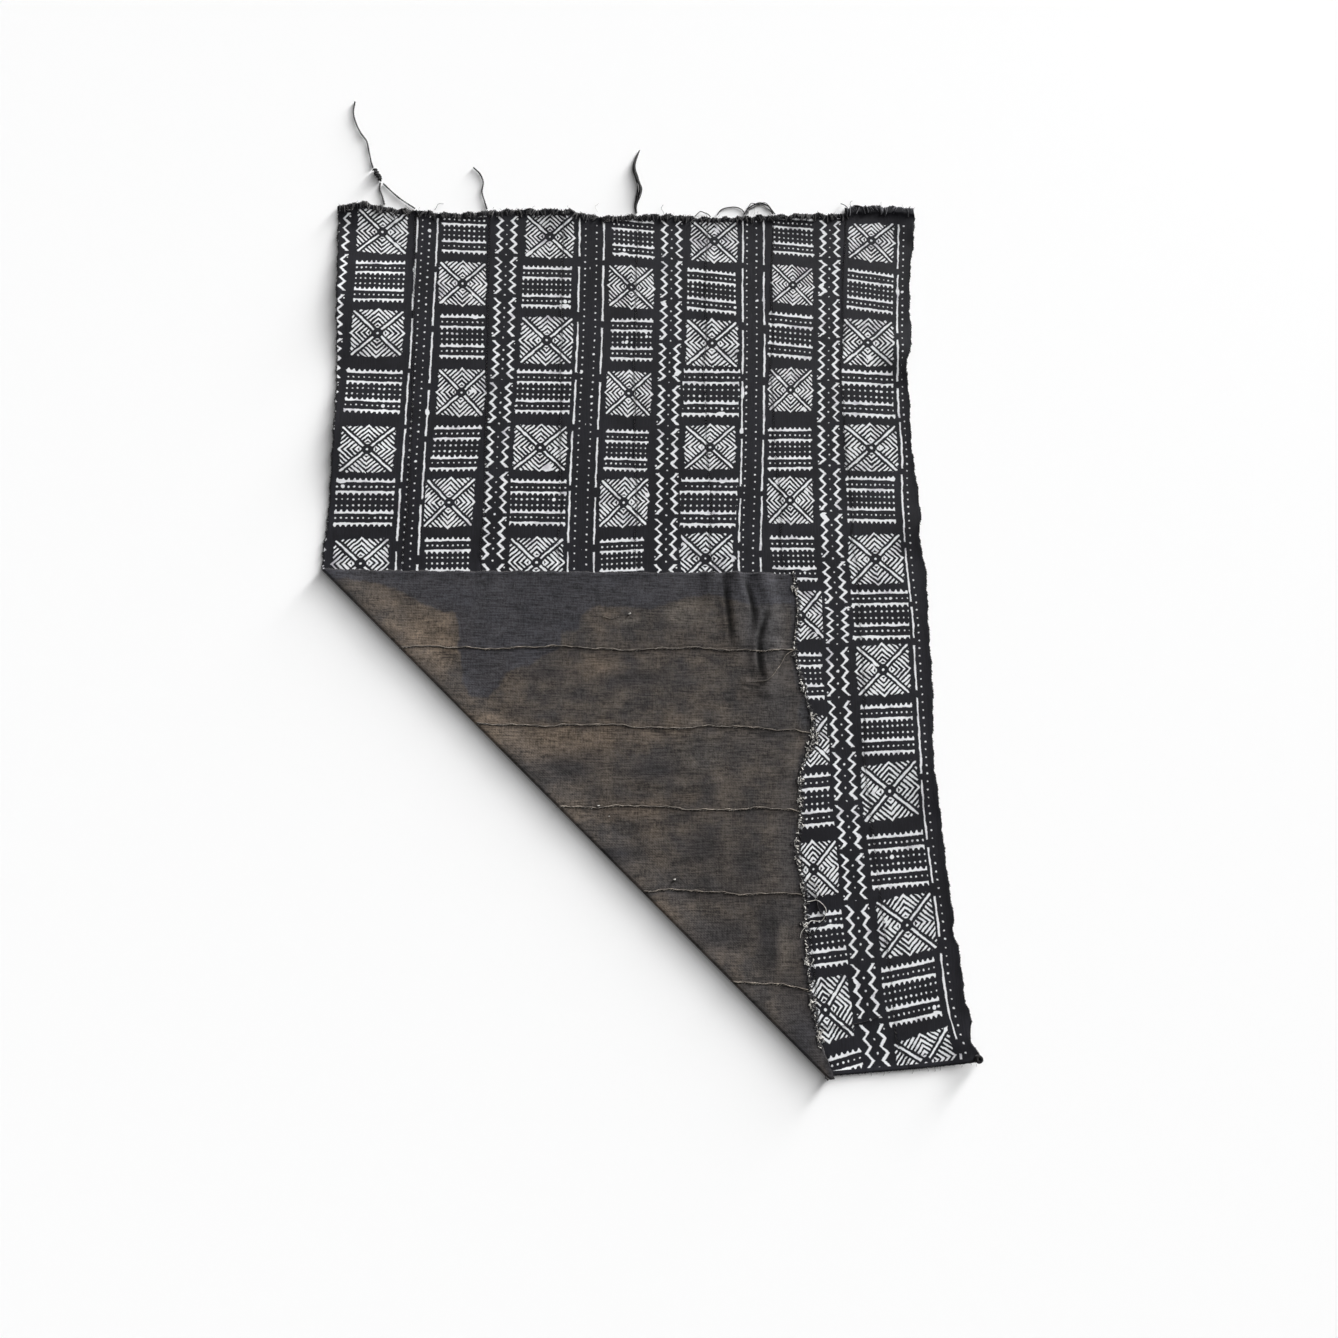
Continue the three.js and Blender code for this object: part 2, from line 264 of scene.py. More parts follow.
def knotMesh():
    t = np.linspace(0, 1, 150)
    angle = 2 * math.pi * knot["turns"] * t
    swell = knot["winding"] * (0.75 + 0.35 * np.sin(math.pi * t)) * (1 + 0.08 * np.sin(2.3 * angle))
    along = knot["halfLength"] * (1 - 2 * t) + 1.2 * np.sin(0.7 * angle)
    turn = math.radians(knot["turn"])
    ahead = np.array([math.cos(turn), math.sin(turn), 0])
    side = np.array([-math.sin(turn), math.cos(turn), 0])
    centre = np.array([knot["x"], knot["y"], knot["height"]])
    winding = (centre + along[:, None] * ahead + (1.15 * swell * np.cos(angle))[:, None] * side
               + (knot["flatness"] * swell * np.sin(angle))[:, None] * [0, 0, 1])
    core = centre + np.linspace(-1, 1, 24)[:, None] * ahead * (knot["halfLength"] + 2.5)
    core[:, 2] -= 0.8
    parts = [pliedYarn(winding, knot["thread"], 2, 5.0, 0.5, chance),
             threadMesh(core, 2.6 * np.sqrt(1 - np.linspace(-0.97, 0.97, 24) ** 2) + 0.4, 8)]
    places, faces = joinMeshes(parts)
    places[:, 2] = np.clip(places[:, 2], floorGap, knot["top"])
    return places, faces


knotPiece = newPiece("knot", *knotMesh(), [yarnCotton])
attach(knotPiece, "root")
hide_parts("yarn_knot")

for node, (route, length, farEnd) in yarns["routes"].items():
    points = [(x, y, yarns["radius"] + 0.15) for x, y in route]
    line = smoothLine(points, 14)
    places, faces = pliedYarn(line, yarns["radius"], yarns["plies"], yarns["twist"], yarns["hair"], chance)
    places[:, 2] = np.clip(places[:, 2], floorGap, None)
    piece = newPiece(node.replace("yarn", "loose_yarn"), places, faces, [yarnCotton])
    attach(piece, "root")
    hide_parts(node)

# The frayed end of a strip's warp: many strands, bunched in the middle and parting at the tip

tuft = {
    "strands": 17,
    "thread": 0.75,
    "twist": 0.9,  # turns over the whole length
    "sections": [  # x, y, half width
        (11, 739.5, 1.8), (10, 755, 2.4), (13, 770, 4.4), (17, 788, 6.2),
        (13, 808, 4.6), (8, 828, 3.8), (12, 850, 2.4), (20, 870, 0.9)],
    "flatness": 0.6,
    "fill": 0.86,  # share of the half width that the strands' middles take up
    "whole": 9,  # strands that reach the tip for certain
    "shortest": 26,  # the others end up to so many points before it
    "taper": 7,  # points
}


def tuftMesh():
    sections = np.array(tuft["sections"], float)
    line = smoothLine(np.column_stack([sections[:, 0], sections[:, 1], np.zeros(len(sections))]), 10)
    width = np.interp(line[:, 1], sections[:, 1], sections[:, 2])
    line[:, 2] = np.maximum(width * tuft["flatness"], 0.9)
    run = np.linspace(0, 1, len(line))
    ahead = np.gradient(line, axis=0)
    side = np.column_stack([ahead[:, 1], -ahead[:, 0], 0 * run]) / np.hypot(ahead[:, 0], ahead[:, 1])[:, None]
    parts = []
    for strand in range(tuft["strands"]):
        last = len(line) - (chance.integers(1, tuft["shortest"]) if strand >= tuft["whole"] else 0)
        reach = math.sqrt(chance.uniform(0.05, 1))
        angle = chance.uniform(0, 2 * math.pi) + 2 * math.pi * tuft["twist"] * run
        wander = 1 + 0.2 * np.sin(chance.uniform(5, 11) * run + chance.uniform(0, 6))
        out = (reach * width * tuft["fill"] * wander)[:, None] * (
            np.cos(angle)[:, None] * side + tuft["flatness"] * np.sin(angle)[:, None] * [0, 0, 1])
        strandLine = (line + out)[:last]
        taper = np.clip((last - np.arange(last)) / tuft["taper"], 0.6, 1)
        parts.append(threadMesh(strandLine, tuft["thread"] * taper, 5))
    places, faces = joinMeshes(parts)
    places[:, 2] = np.clip(places[:, 2], floorGap, None)
    return places, faces, line


places, faces, line = tuftMesh()
piece = newPiece("frayed_tuft", places, faces, [yarnCotton])
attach(piece, "root")
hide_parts("yarn_tuft")
print("yarns laid")


# The lie of the cloth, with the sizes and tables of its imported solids

cloth = {
    "length": 1510,
    "thickness": 2.0,
    "strips": 8,
    "seamGap": 0.3,
    "foldedStrips": 6,
    "foldRadius": 3.0,
    "layerGap": 0.8,
    "settleLength": 45.0,
    "tipLength": 3.0,
    "rimHeight": 0.8,  # of the woven edge; the stitches over it reach the rest
    "selvedgeHeight": 0.4,  # the same along the woven edges
    "hemLength": 14.0,
    "hemHeight": 3.0,
    "seamDip": (0.35, 1.1),  # mm deep and wide, of the groove along a seam
    "seamShade": 2.0,  # mm wide, of the painted shadow along each seam's join on the back
    "rawShade": 11.0,  # mm wide, of the darker band along the raw edge
    "step": 4.2,  # mm between points of the fine mesh
}
sideEdges = np.array([  # y, left, right
    (-790, -541, 508), (-764, -541, 512), (-744, -541, 519), (-714, -541, 503), (-606, -541, 500),
    (-480, -537, 491), (-340, -535, 485), (-275, -534, 481), (-159, -531, 490), (-41, -529, 492),
    (60, -528, 495), (112, -525, 488), (166, -520, 494), (290, -516, 488), (375, -514, 491),
    (441, -515, 490), (490, -516, 503), (550, -518, 505), (630, -519, 512), (690, -521, 523),
    (745, -522, 527)], float)
seamShares = np.array([  # seam, share of the width at the lower end, at the upper end
    (0, 0, 0), (1, 0.129, 0.129), (2, 0.256, 0.255), (3, 0.384, 0.382), (4, 0.511, 0.511),
    (5, 0.645, 0.632), (6, 0.773, 0.748), (7, 0.889, 0.877), (8, 1, 1)], float)
upperEnd = np.array([  # seam, y
    (0, 741), (0.3, 749), (0.6, 742), (1, 737), (1.5, 732), (2, 738), (2.5, 742), (3, 741), (3.5, 731),
    (4, 735), (4.5, 736), (5, 731), (6, 738), (7, 743), (7.5, 746), (8, 741)], float)
rawEnd = np.array([  # seam, y
    (0, -722), (0.5, -728), (1, -721), (1.5, -737), (2, -750), (2.5, -728), (3, -727), (3.5, -720),
    (4, -730), (4.5, -732), (5, -737), (5.5, -750)], float)
hemmedEnd = np.array([(6, 0), (6.5, 2), (7, 4), (7.5, 7), (8, 12)], float)  # seam, rise
foldUpper = np.array([-528.0, 70.0])
foldLower = np.array([275.0, -764.0])
lifts = [  # x, y, reach, height
    (-522, 560, 150, 6), (-516, 300, 140, 5), (-482, 748, 55, 4), (-120, 742, 60, 3), (330, 743, 60, 3),
    (524, 735, 60, 4), (496, 462, 70, 5), (492, 130, 60, 3), (484, -300, 80, 4), (510, -735, 60, 6)]
ridges = [  # from x, y, to x, y, half width, height
    (164, 75, 168, -60, 22, 5), (205, 70, 222, -40, 26, 5), (222, -70, 208, -150, 20, 4),
    (120, 75, 118, 5, 20, 3)]
creases = [  # half width, depth, points: narrow troughs between low swells on the folded corner
    (7.0, 1.9, [(142, 56), (146, 10), (149, -28), (151, -68)]),
    (7.0, 2.0, [(177, 57), (181, 33), (187, 10), (191, -18), (188, -46)]),
    (7.5, 2.8, [(218, -1), (211, -22), (204, -41), (198, -62), (196, -86), (197, -110), (201, -129),
                (201, -137)]),
    (5.0, 1.6, [(201, -137), (193, -142), (180, -141), (160, -136)]),
    (5.0, 1.2, [(257, -78), (236, -94), (230, -110), (228, -124)]),
    (6.0, 0.8, [(-60, 66), (-75, 30), (-70, -6)]),
    (6.0, 0.7, [(50, -235), (110, -228), (160, -236)]),
    (6.0, 0.6, [(-20, -300), (60, -312), (150, -300)]),
    (6.0, 0.8, [(192, -470), (198, -530), (190, -600)]),
    (6.0, 0.6, [(90, -430), (96, -480), (88, -520)]),
]
swells = [  # across, along, phase, height: broad unevenness of hand-spun cloth, in both layers
    (0.041, 0.013, 0.4, 0.30), (-0.019, 0.047, 2.1, 0.30), (0.071, -0.052, 4.0, 0.18),
    (0.012, 0.021, 1.2, 0.35)]


def along(table, column, at):
    # A table's column at any place, by a smooth curve through its values
    keys, values = table[:, 0], table[:, column]
    i = np.searchsorted(keys[1:-1], at, side="left")
    span = keys[i + 1] - keys[i]
    before, after = np.maximum(i - 1, 0), np.minimum(i + 2, len(keys) - 1)
    u = np.clip((at - keys[i]) / span, 0, 1)
    v = 1 - u
    slopeLow = (values[i + 1] - values[before]) / (keys[i + 1] - keys[before]) * span
    slopeHigh = (values[after] - values[i]) / (keys[after] - keys[i]) * span
    return (values[i] * (1 + 2 * u) * v * v + values[i + 1] * (1 + 2 * v) * u * u
            + slopeLow * u * v * v - slopeHigh * v * u * u)


def bump(distance, reach):
    return np.clip(1 - (distance / reach) ** 2, 0, None) ** 2


def smoothStep(value, low, high):
    t = np.clip((value - low) / (high - low), 0, 1)
    return t * t * (3 - 2 * t)


def acrossAt(seam, y):
    # x of a line along the strips, where seam 0 is the left edge of the cloth and 8 the right one
    share = np.clip(y / cloth["length"] + 0.5, 0, 1)
    lower, upper = along(seamShares, 1, seam), along(seamShares, 2, seam)
    left, right = along(sideEdges, 1, y), along(sideEdges, 2, y)
    wave = 2.2 * np.sin(y / 33 + 2.1 * seam) + 0.9 * np.sin(y / 12 + seam)
    inner = np.clip(seam, 0, 1) * np.clip(6 - seam, 0, 1) * np.clip((60 - y) / 80, 0, 1)
    return left + (right - left) * (lower + (upper - lower) * share) + inner * wave


foldRun = foldLower - foldUpper
acrossFold = np.array([foldRun[1], -foldRun[0]]) / np.hypot(*foldRun)
bendLength = math.pi * cloth["foldRadius"]


def pastFold(x, y):
    # How far a place of the flat cloth lies past the start of the fold
    outermost = (x - foldUpper[0]) * acrossFold[0] + (y - foldUpper[1]) * acrossFold[1]
    return outermost + cloth["foldRadius"] + cloth["thickness"] / 2


def foldCrossing(seam, distance):
    # Where a line along the strips lies this far past the start of the fold
    y = np.zeros_like(seam)
    for _ in range(40):
        y = y + (distance - pastFold(acrossAt(seam, y), y)) / acrossFold[1]
    return y


def offLine(x, y, points):
    # Distance to a line of points, and how far along it the nearest place is
    best, run, total = np.full(np.shape(x), 1e9), np.zeros(np.shape(x)), 0.0
    for (ax, ay), (bx, by) in zip(points, points[1:]):
        dx, dy = bx - ax, by - ay
        size = math.hypot(dx, dy)
        u = np.clip(((x - ax) * dx + (y - ay) * dy) / size ** 2, 0, 1)
        off = np.hypot(x - ax - u * dx, y - ay - u * dy)
        run = np.where(off < best, total + u * size, run)
        best = np.minimum(off, best)
        total += size
    return best, run / total


def reliefOfCorner(x, y):
    height = np.zeros(np.shape(x))
    for fromX, fromY, toX, toY, halfWidth, tall in ridges:
        off, run = offLine(x, y, [(fromX, fromY), (toX, toY)])
        height += tall * (1 - 0.6 * run) * bump(off, halfWidth)
    for halfWidth, deep, points in creases:
        off, run = offLine(x, y, points)
        fade = np.clip(4 * run, 0.3, 1) * np.clip(4 * (1 - run), 0.2, 1)
        height += deep * fade * (bump(off, 3 * halfWidth) - bump(off, halfWidth))
    return height


def creaseShade(x, y):
    # Painted shade: how much darker the back of the folded corner is made along each crease
    shade = np.zeros(np.shape(x))
    for halfWidth, deep, points in creases:
        off, run = offLine(x, y, points)
        fade = np.clip(4 * run, 0.2, 1) * np.clip(4 * (1 - run), 0.1, 1)
        shade = np.maximum(shade, min(deep / 2, 1) * fade * bump(off, halfWidth))
    return shade


def addUnevenness(z, x, y):
    for liftX, liftY, reach, height in lifts:
        z = z + height * bump(np.hypot(x - liftX, y - liftY), reach)
    for waveX, waveY, phase, height in swells:
        z = z + height * (1 + np.sin(waveX * x + waveY * y + phase)) / 2
    return z


def layCloth(x, y):
    # Place of the cloth's middle, its outward direction, and its turn: 0 is flat, 1 folded over
    past = pastFold(x, y)
    angle = np.clip(past / cloth["foldRadius"], 0, math.pi)
    beyond = np.clip(past - bendLength, 0, None)
    back = past - np.minimum(past, 0) + beyond - cloth["foldRadius"] * np.sin(angle)
    placeX, placeY = x - acrossFold[0] * back, y - acrossFold[1] * back
    z = cloth["thickness"] / 2 + cloth["foldRadius"] * (1 - np.cos(angle))
    settled = smoothStep(beyond, 0, cloth["settleLength"])
    z = z - settled * (2 * cloth["foldRadius"] - cloth["thickness"] - cloth["layerGap"])
    z = z + np.where(beyond > 0, settled * reliefOfCorner(placeX, placeY), 0)
    z = addUnevenness(z, placeX, placeY)
    front = np.stack([-acrossFold[0] * np.sin(angle), -acrossFold[1] * np.sin(angle), np.cos(angle)], -1)
    return np.stack([placeX, placeY, z], -1), front, angle / math.pi


edgeBulges = [(-683, 24, 8.0), (-550, 15, -4.5)]  # of the right edge: y, reach, mm outwards


def edgeWave(y, seam):
    # Small scallops where the edge stitches pull, and the bulges of the right edge
    bulge = sum(out * np.exp(-((y - bulgeY) / reach) ** 2) for bulgeY, reach, out in edgeBulges)
    wave = 0.5 * np.sin(y / 3.1 + 2 * seam) + 0.8 * np.sin(y / 8.3 + seam) + 0.2 * np.sin(y / 1.9)
    return wave + bulge * (seam == cloth["strips"])


# The marks: where each column and row of the pattern lies

markColumns = np.column_stack([  # x of each column of marks, and of the last zigzag, at each y
    [-760, -726, -650, -535, -444, -322, -233, -117, -20, 80, 184, 280, 385, 490, 595, 690, 760],  # y
    [-466] * 9 + [-465, -461, -457, -452, -448, -445, -442, -441],  # a1
    [-324] * 9 + [-322, -320, -311, -301, -300, -300, -300, -300],  # b1
    [-175] * 9 + [-174, -170, -165, -159, -153, -149, -146, -145],  # a2
    [-30] * 10 + [-25, -18, -10, -5, -2, -2, -1],  # b2
    [113] * 9 + [114, 121, 128, 134, 140, 144, 149, 151],  # a3
    [293, 290, 285, 274, 272, 273, 275, 265, 271, 265, 265, 270, 276, 284, 292, 294, 296],  # b3
    [434, 431, 418, 414, 409, 405, 408, 410, 412, 409, 411, 416, 417, 424, 433, 442, 447],  # a4
    [357, 354, 343, 337, 334, 330, 331, 329, 335, 334, 336, 339, 344, 352, 359, 366, 370],  # the last zigzag
]).astype(float)
markRows = [  # y at the right-hand column, slope, tilt of a mark at the left and at the right, height, width
    (686, -0.5, -1.0, -6.0, 0.92, 0.945), (591, -0.3, 0.0, -7.0, 0.93, 0.88),
    (486, -0.6, -0.5, -3.0, 0.98, 1.0),
    (385, -0.1, -0.5, -2.0, 0.96, 1.0), (284, 0.2, 0.5, -1.0, 0.92, 1.0), (179, -0.45, 0.5, -1.0, 0.96, 1.0),
    (77, -0.3, 0.5, 0.0, 0.95, 1.0), (-18, 1.2, 0.5, 1.0, 0.93, 1.0), (-117, 3.5, 0.5, 1.0, 0.95, 1.0),
    (-215, 7.0, 0.5, 1.5, 0.96, 1.0), (-322, 6.5, 0.5, 2.5, 0.97, 1.0), (-429, 6.5, 0.5, 3.5, 0.98, 1.0),
    (-535, 7.0, 0.5, 6.5, 0.96, 1.0), (-636, 8.0, 0.5, 9.5, 1.03, 0.91), (-746, 7.0, 0.5, 12.0, 0.94, 1.04)]
markShifts = {  # row and column of marks that were drawn off their row, and how far in mm
    (0, 3): (-1, -2), (0, 4): (5, -2), (0, 5): (4, -5), (0, 6): (3, 10), (1, 3): (-3, -6),
    (1, 4): (0, -5), (1, 5): (0, -9), (1, 6): (0, 6), (1, 7): (0, -3), (2, 3): (0, -7), (2, 4): (0, -3),
    (2, 5): (0, -9), (2, 6): (-3, 9), (2, 7): (-1, -3), (3, 6): (0, 7), (3, 7): (-6, 0), (4, 6): (0, -4),
    (5, 6): (-1, 6), (5, 7): (-2, 8), (7, 7): (0, -5), (8, 7): (-3, 0), (10, 6): (0, 10),
    (10, 7): (-1, 3), (11, 6): (-3, 4), (11, 7): (0, 3), (12, 7): (4, 4), (13, 6): (-10, -3),
    (13, 7): (-2, 0), (14, 6): (-1, -5), (14, 7): (-3, 0),
}
markWidths = {(5, 7): 0.86, (7, 7): 0.96, (9, 7): 0.9, (11, 7): 0.96}  # of single narrower marks
markShapes = {  # of each kind of column: half width, then width and height as shares of the drawn marks
    "a": {"half": 51.8, "square": (1.0, 1.0), "comb": (1.0, 1.0)},
    "b": {"half": 46.0, "square": (0.89, 0.97), "narrowComb": (0.92, 0.97)},
}
lineColumns = {  # for each a column, mm from its middle: two drawn lines, then the dots and how far apart
    1: (59.0, 95.0, 75.5, 12.8),
    3: (53.0, 97.0, 74.0, 20.0),
    5: (56.0, 94.0, 72.0, 17.5),
    7: (53.0, 96.5, 69.0, 13.8),
}
zigzagColumns = {  # drawn after each column of lines: column of the table, mm from it, its gaps, mm upwards
    1: [(1, 219, "other", 0), (1, -77.5, "other", 0)],
    3: [(3, 219, "other", -4)],
    5: [(8, 0, "last", 0)],
    7: [],
}
drawnSizes = {  # half width and half length of what is drawn between two gaps
    "line": (5.2, 45.0),
    "dots": (4.6, 800.0),
    "zigzag": (24.5, 40.25),
}
dotGaps = [800, -800]  # the dots go on without a stop
markReach = 51.5  # mm above and below its middle that a mark takes up
bareEdges = {"top": 8.5, "hem": 20.5, "left": 1.5, "right": 11.0, "lower": 6.5}  # mm without marks
markColumnAt = 430  # x where the rows' y is given
zigzagGaps = {  # places where the zigzags stop
    "last": [
        765, 732, 652, 573, 491, 409, 328, 248, 164, 78,
        -3, -72, -164, -250, -337, -416, -496, -588, -680, -776],
    "other": [
        765, 732, 650, 570, 488, 408, 326, 244, 162, 80,
        0, -76, -160, -246, -333, -412, -492, -584, -676, -772],
}
lineGaps = {  # places where the drawn lines stop, for the last two lines; the others are spaced like them
    "last": [750, 625, 498, 400, 335, 239, 103, -4, -66, -162, -296, -408, -476, -570, -723, -800],
    "other": [748, 636, 519, 412, 310, 204, 98, -12, -120, -228, -330, -440, -548, -650, -770],
}
kinds = {"bare": 0, "square": 1, "comb": 2, "zigzag": 3, "line": 4, "dots": 5, "narrowComb": 6}
kindStep = 1000  # between the kinds, along the marks' map
dotsApart = 6.9  # half of the way between the drawn dots' columns
jitter = {  # drawn by hand
    "place": 1.6,  # mm
    "turn": 1.2,  # degrees
    "size": 0.03,  # share
    "lineStart": 14,  # mm
    "lineEnd": 3,
}
lineStop = 7  # mm between the end of a line and the middle of its gap


def markMap(x, y, cornerX, cornerY):
    # Place within its own mark for each face corner, x and y being the middles of the faces
    across = np.zeros_like(cornerX)
    up = np.zeros_like(cornerY)
    hand = np.random.default_rng(5)

    def put(chosen, kind, p, q):
        across[chosen] = p + kinds[kind] * kindStep
        up[chosen] = q

    columns = [("a", c) for c in (1, 3, 5, 7)] + [("b", c) for c in (2, 4, 6)]
    for letter, column in columns:
        here = along(markColumns, column, y)
        shapes = markShapes[letter]
        for row, (rowY, slope, tiltLeft, tiltRight, rowTall, rowWide) in enumerate(markRows):
            shift = hand.normal(size=4)
            centreX = along(markColumns, column, np.array(float(rowY)))
            shiftX, shiftY = markShifts.get((row, column), (0, 0))
            centreY = rowY - math.tan(math.radians(slope)) * (markColumnAt - centreX) + shiftY
            share = np.clip((centreX + 450) / 900, 0, 1)  # from the left column to the right one
            tilt = math.radians(tiltLeft + (tiltRight - tiltLeft) * share + jitter["turn"] * shift[0])
            offX, offY = x - here - shiftX, y - centreY - math.tan(tilt) * (x - here)
            chosen = (np.abs(offX) < shapes["half"]) & (np.abs(offY) < markReach)
            if not chosen.any():
                continue
            comb = "comb" if letter == "a" else "narrowComb"
            kind = "square" if (row % 2 == 0) == (letter == "a") else comb
            dx = cornerX[chosen] - along(markColumns, column, cornerY[chosen]) - shiftX
            dx -= jitter["place"] * 0.5 * shift[1]
            dy = cornerY[chosen] - centreY - math.tan(tilt) * dx - jitter["place"] * shift[2]
            size = 1 + jitter["size"] * shift[3]
            wide, tall = shapes[kind]
            wide *= markWidths.get((row, column), rowWide if letter == "a" else 1)
            put(chosen, kind, dx / (wide * size), dy / (tall * rowTall * size))

    def drawColumn(column, offset, kind, gaps, rise, spread=0, innerOnly=False):
        halfWidth, half = drawnSizes[kind]
        here = along(markColumns, column, y) + offset
        inColumn = (np.abs(x - here) < spread / 2 + halfWidth) & ~(innerOnly & (x > here))
        for upper, lower in zip(gaps, gaps[1:]):
            shift = hand.normal(size=2)
            middleY = (upper + lower) / 2 + rise
            length = upper - lower
            chosen = inColumn & (y < upper + rise) & (y >= lower + rise)
            if not chosen.any():
                continue
            p = cornerX[chosen] - along(markColumns, column, cornerY[chosen]) - offset
            q = cornerY[chosen] - middleY
            if kind == "line":
                stretch = (length / 2 - lineStop + jitter["lineEnd"] * shift[0]) / half
                put(chosen, kind, p + 0.4 * shift[1], q / stretch)
            elif kind == "dots":
                side = np.sign(x[chosen] - here[chosen])[:, None]
                put(chosen, kind, p - side * (spread / 2 - dotsApart), q)
            else:
                put(chosen, kind, p + 0.5 * shift[1], q * half / (length / 2))

    for column, (*lines, dots, spread) in lineColumns.items():
        last = column == 7
        for offset in lines:
            reach = jitter["lineStart"]
            rise = 0 if last and offset == lines[0] else hand.uniform(-reach, reach)
            drawColumn(column, offset, "line", lineGaps["last" if last else "other"], rise)
        # Of the last column's dots the outer ones would lie on the stitched edge, and aren't drawn
        drawColumn(column, dots, "dots", dotGaps, 0, spread, innerOnly=last)
        for place, offset, gaps, rise in zigzagColumns[column]:
            drawColumn(place, offset, "zigzag", zigzagGaps[gaps], rise)
    return across, up


# Stains and worn places of the back, by place on the folded corner

stainBorder = [  # lower border of the blue-grey stain, from the fold to the raw end
    (-540, 60), (-474, 52), (-435, 45), (-379, 19), (-340, -2), (-307, -8), (-298, -80), (-295, -125),
    (-278, -151), (-256, -155), (-235, -138), (-224, -110), (-190, -99), (-137, -71), (-134, -48),
    (-101, -40),
    (-98, -14), (-72, 3), (19, -7), (71, 13), (117, 18), (185, 0), (300, -6)]
patches = [  # kind, x, y, half length, half height, strength
    ("tan", -350, -50, 85, 75, 1.0), ("tan", -420, 22, 60, 34, 0.6), ("tan", -240, -130, 60, 90, 0.5),
    ("tan", -79, -101, 70, 30, 0.6), ("tan", -120, -224, 160, 40, 0.95), ("tan", -256, -204, 60, 46, 0.8),
    ("tan", -60, -20, 60, 34, 0.35), ("tan", 50, -200, 60, 40, 0.4), ("tan", -225, -195, 50, 36, 0.6),
    ("tan", -40, -340, 120, 26, 0.55), ("tan", 10, -372, 80, 20, 0.4), ("tan", 20, -495, 34, 34, 0.45),
    ("tan", 75, -320, 40, 26, 0.3), ("tan", 120, -585, 50, 40, 0.3), ("tan", 90, -80, 50, 40, 0.25),
    ("dark", -512, 61, 50, 26, 0.95), ("dark", -157, -111, 65, 22, 0.6), ("dark", -13, -125, 75, 20, 0.7),
    ("dark", -136, -268, 60, 28, 0.7), ("dark", 17, -275, 60, 24, 0.8), ("dark", -50, -408, 50, 20, 0.9),
    ("dark", 89, -403, 44, 40, 0.7), ("dark", 155, -433, 36, 50, 0.6), ("dark", 112, -539, 70, 34, 0.75),
    ("dark", 189, -548, 24, 80, 0.8), ("dark", -91, -252, 44, 20, 0.5), ("dark", -200, -180, 34, 18, 0.4),
    ("dark", 236, -700, 50, 80, 1.0), ("dark", 60, -470, 60, 24, 0.5), ("dark", -269, 58, 80, 14, 0.5),
    ("dark", 120, -470, 90, 26, 0.5), ("dark", 220, -640, 34, 60, 0.6), ("dark", -130, 40, 120, 24, 0.35),
    ("blue", 205, -40, 52, 100, 0.85), ("blue", 222, -165, 60, 95, 0.5), ("blue", 242, -683, 40, 80, 0.25),
    ("blue", 190, -235, 50, 40, 0.35), ("blue", 230, -420, 30, 180, 0.5), ("blue", -150, -240, 120, 26, 0.2),
    ("worn", 70, -16, 40, 26, 0.5), ("worn", -22, -27, 26, 12, 0.7), ("worn", 90, -251, 50, 40, 0.4),
    ("worn", 81, -200, 24, 14, 0.4), ("worn", 14, 31, 30, 16, 0.3), ("worn", 250, -400, 8, 220, 0.5),
    ("blue", 262, 10, 14, 60, 0.9), ("blue", 266, -120, 16, 50, 0.9), ("blue", 268, -190, 18, 40, 0.9),
    ("worn", 115, -24, 26, 40, 0.3), ("worn", 215, -560, 16, 60, 0.3), ("worn", 240, -250, 14, 90, 0.25)]


def stainDepth(x, y):
    # How far a place lies above the stain's lower border, in mm
    off, _ = offLine(x, y, stainBorder)
    points = stainBorder + [(300, 400), (-540, 400)]
    inside = np.zeros(np.shape(x), bool)
    for (ax, ay), (bx, by) in zip(points, points[1:] + points[:1]):
        if ay != by:
            inside ^= ((ay > y) != (by > y)) & (x < (bx - ax) * (y - ay) / (by - ay) + ax)
    return np.clip(np.where(inside, off, -off), -60, 60)


def patchStrength(kind, x, y):
    total = np.zeros(np.shape(x))
    for name, px, py, halfX, halfY, strength in patches:
        if name == kind:
            total = np.maximum(total, strength * bump(np.hypot((x - px) / halfX, (y - py) / halfY), 1.35))
    return total


# Fine mesh of a strip


def topOf(seam):
    # The stitched upper edge is bumpy, and its right-hand corner is rounded
    seam = np.asarray(seam, float)
    bumps = 1.5 * np.sin(23 * seam) + 1.2 * np.sin(37 * seam + 1) + 0.8 * np.sin(119 * seam)
    return along(upperEnd, 1, seam) + bumps - 7 * np.clip((seam - 7.92) / 0.08, 0, 1) ** 2


def sideSteps(width, outer):
    # Distances from a side of a strip, closer at the side
    edge = [0, 1.2, 2.4, 3.6, 5.4, 7.2, 9] if outer else [0, 0.8, 2.4]
    return np.array(edge) / width


def stripLines(strip):
    left, right = (acrossAt(np.array(float(seam)), np.array(0.0)) for seam in (strip - 1, strip))
    width = float(right - left)
    low = sideSteps(width, strip == 1)
    high = 1 - sideSteps(width, strip == cloth["strips"])[::-1]
    count = round((high[0] - low[-1]) * width / cloth["step"])
    return np.concatenate([low, np.linspace(low[-1], high[0], count + 1)[1:-1], high]), width


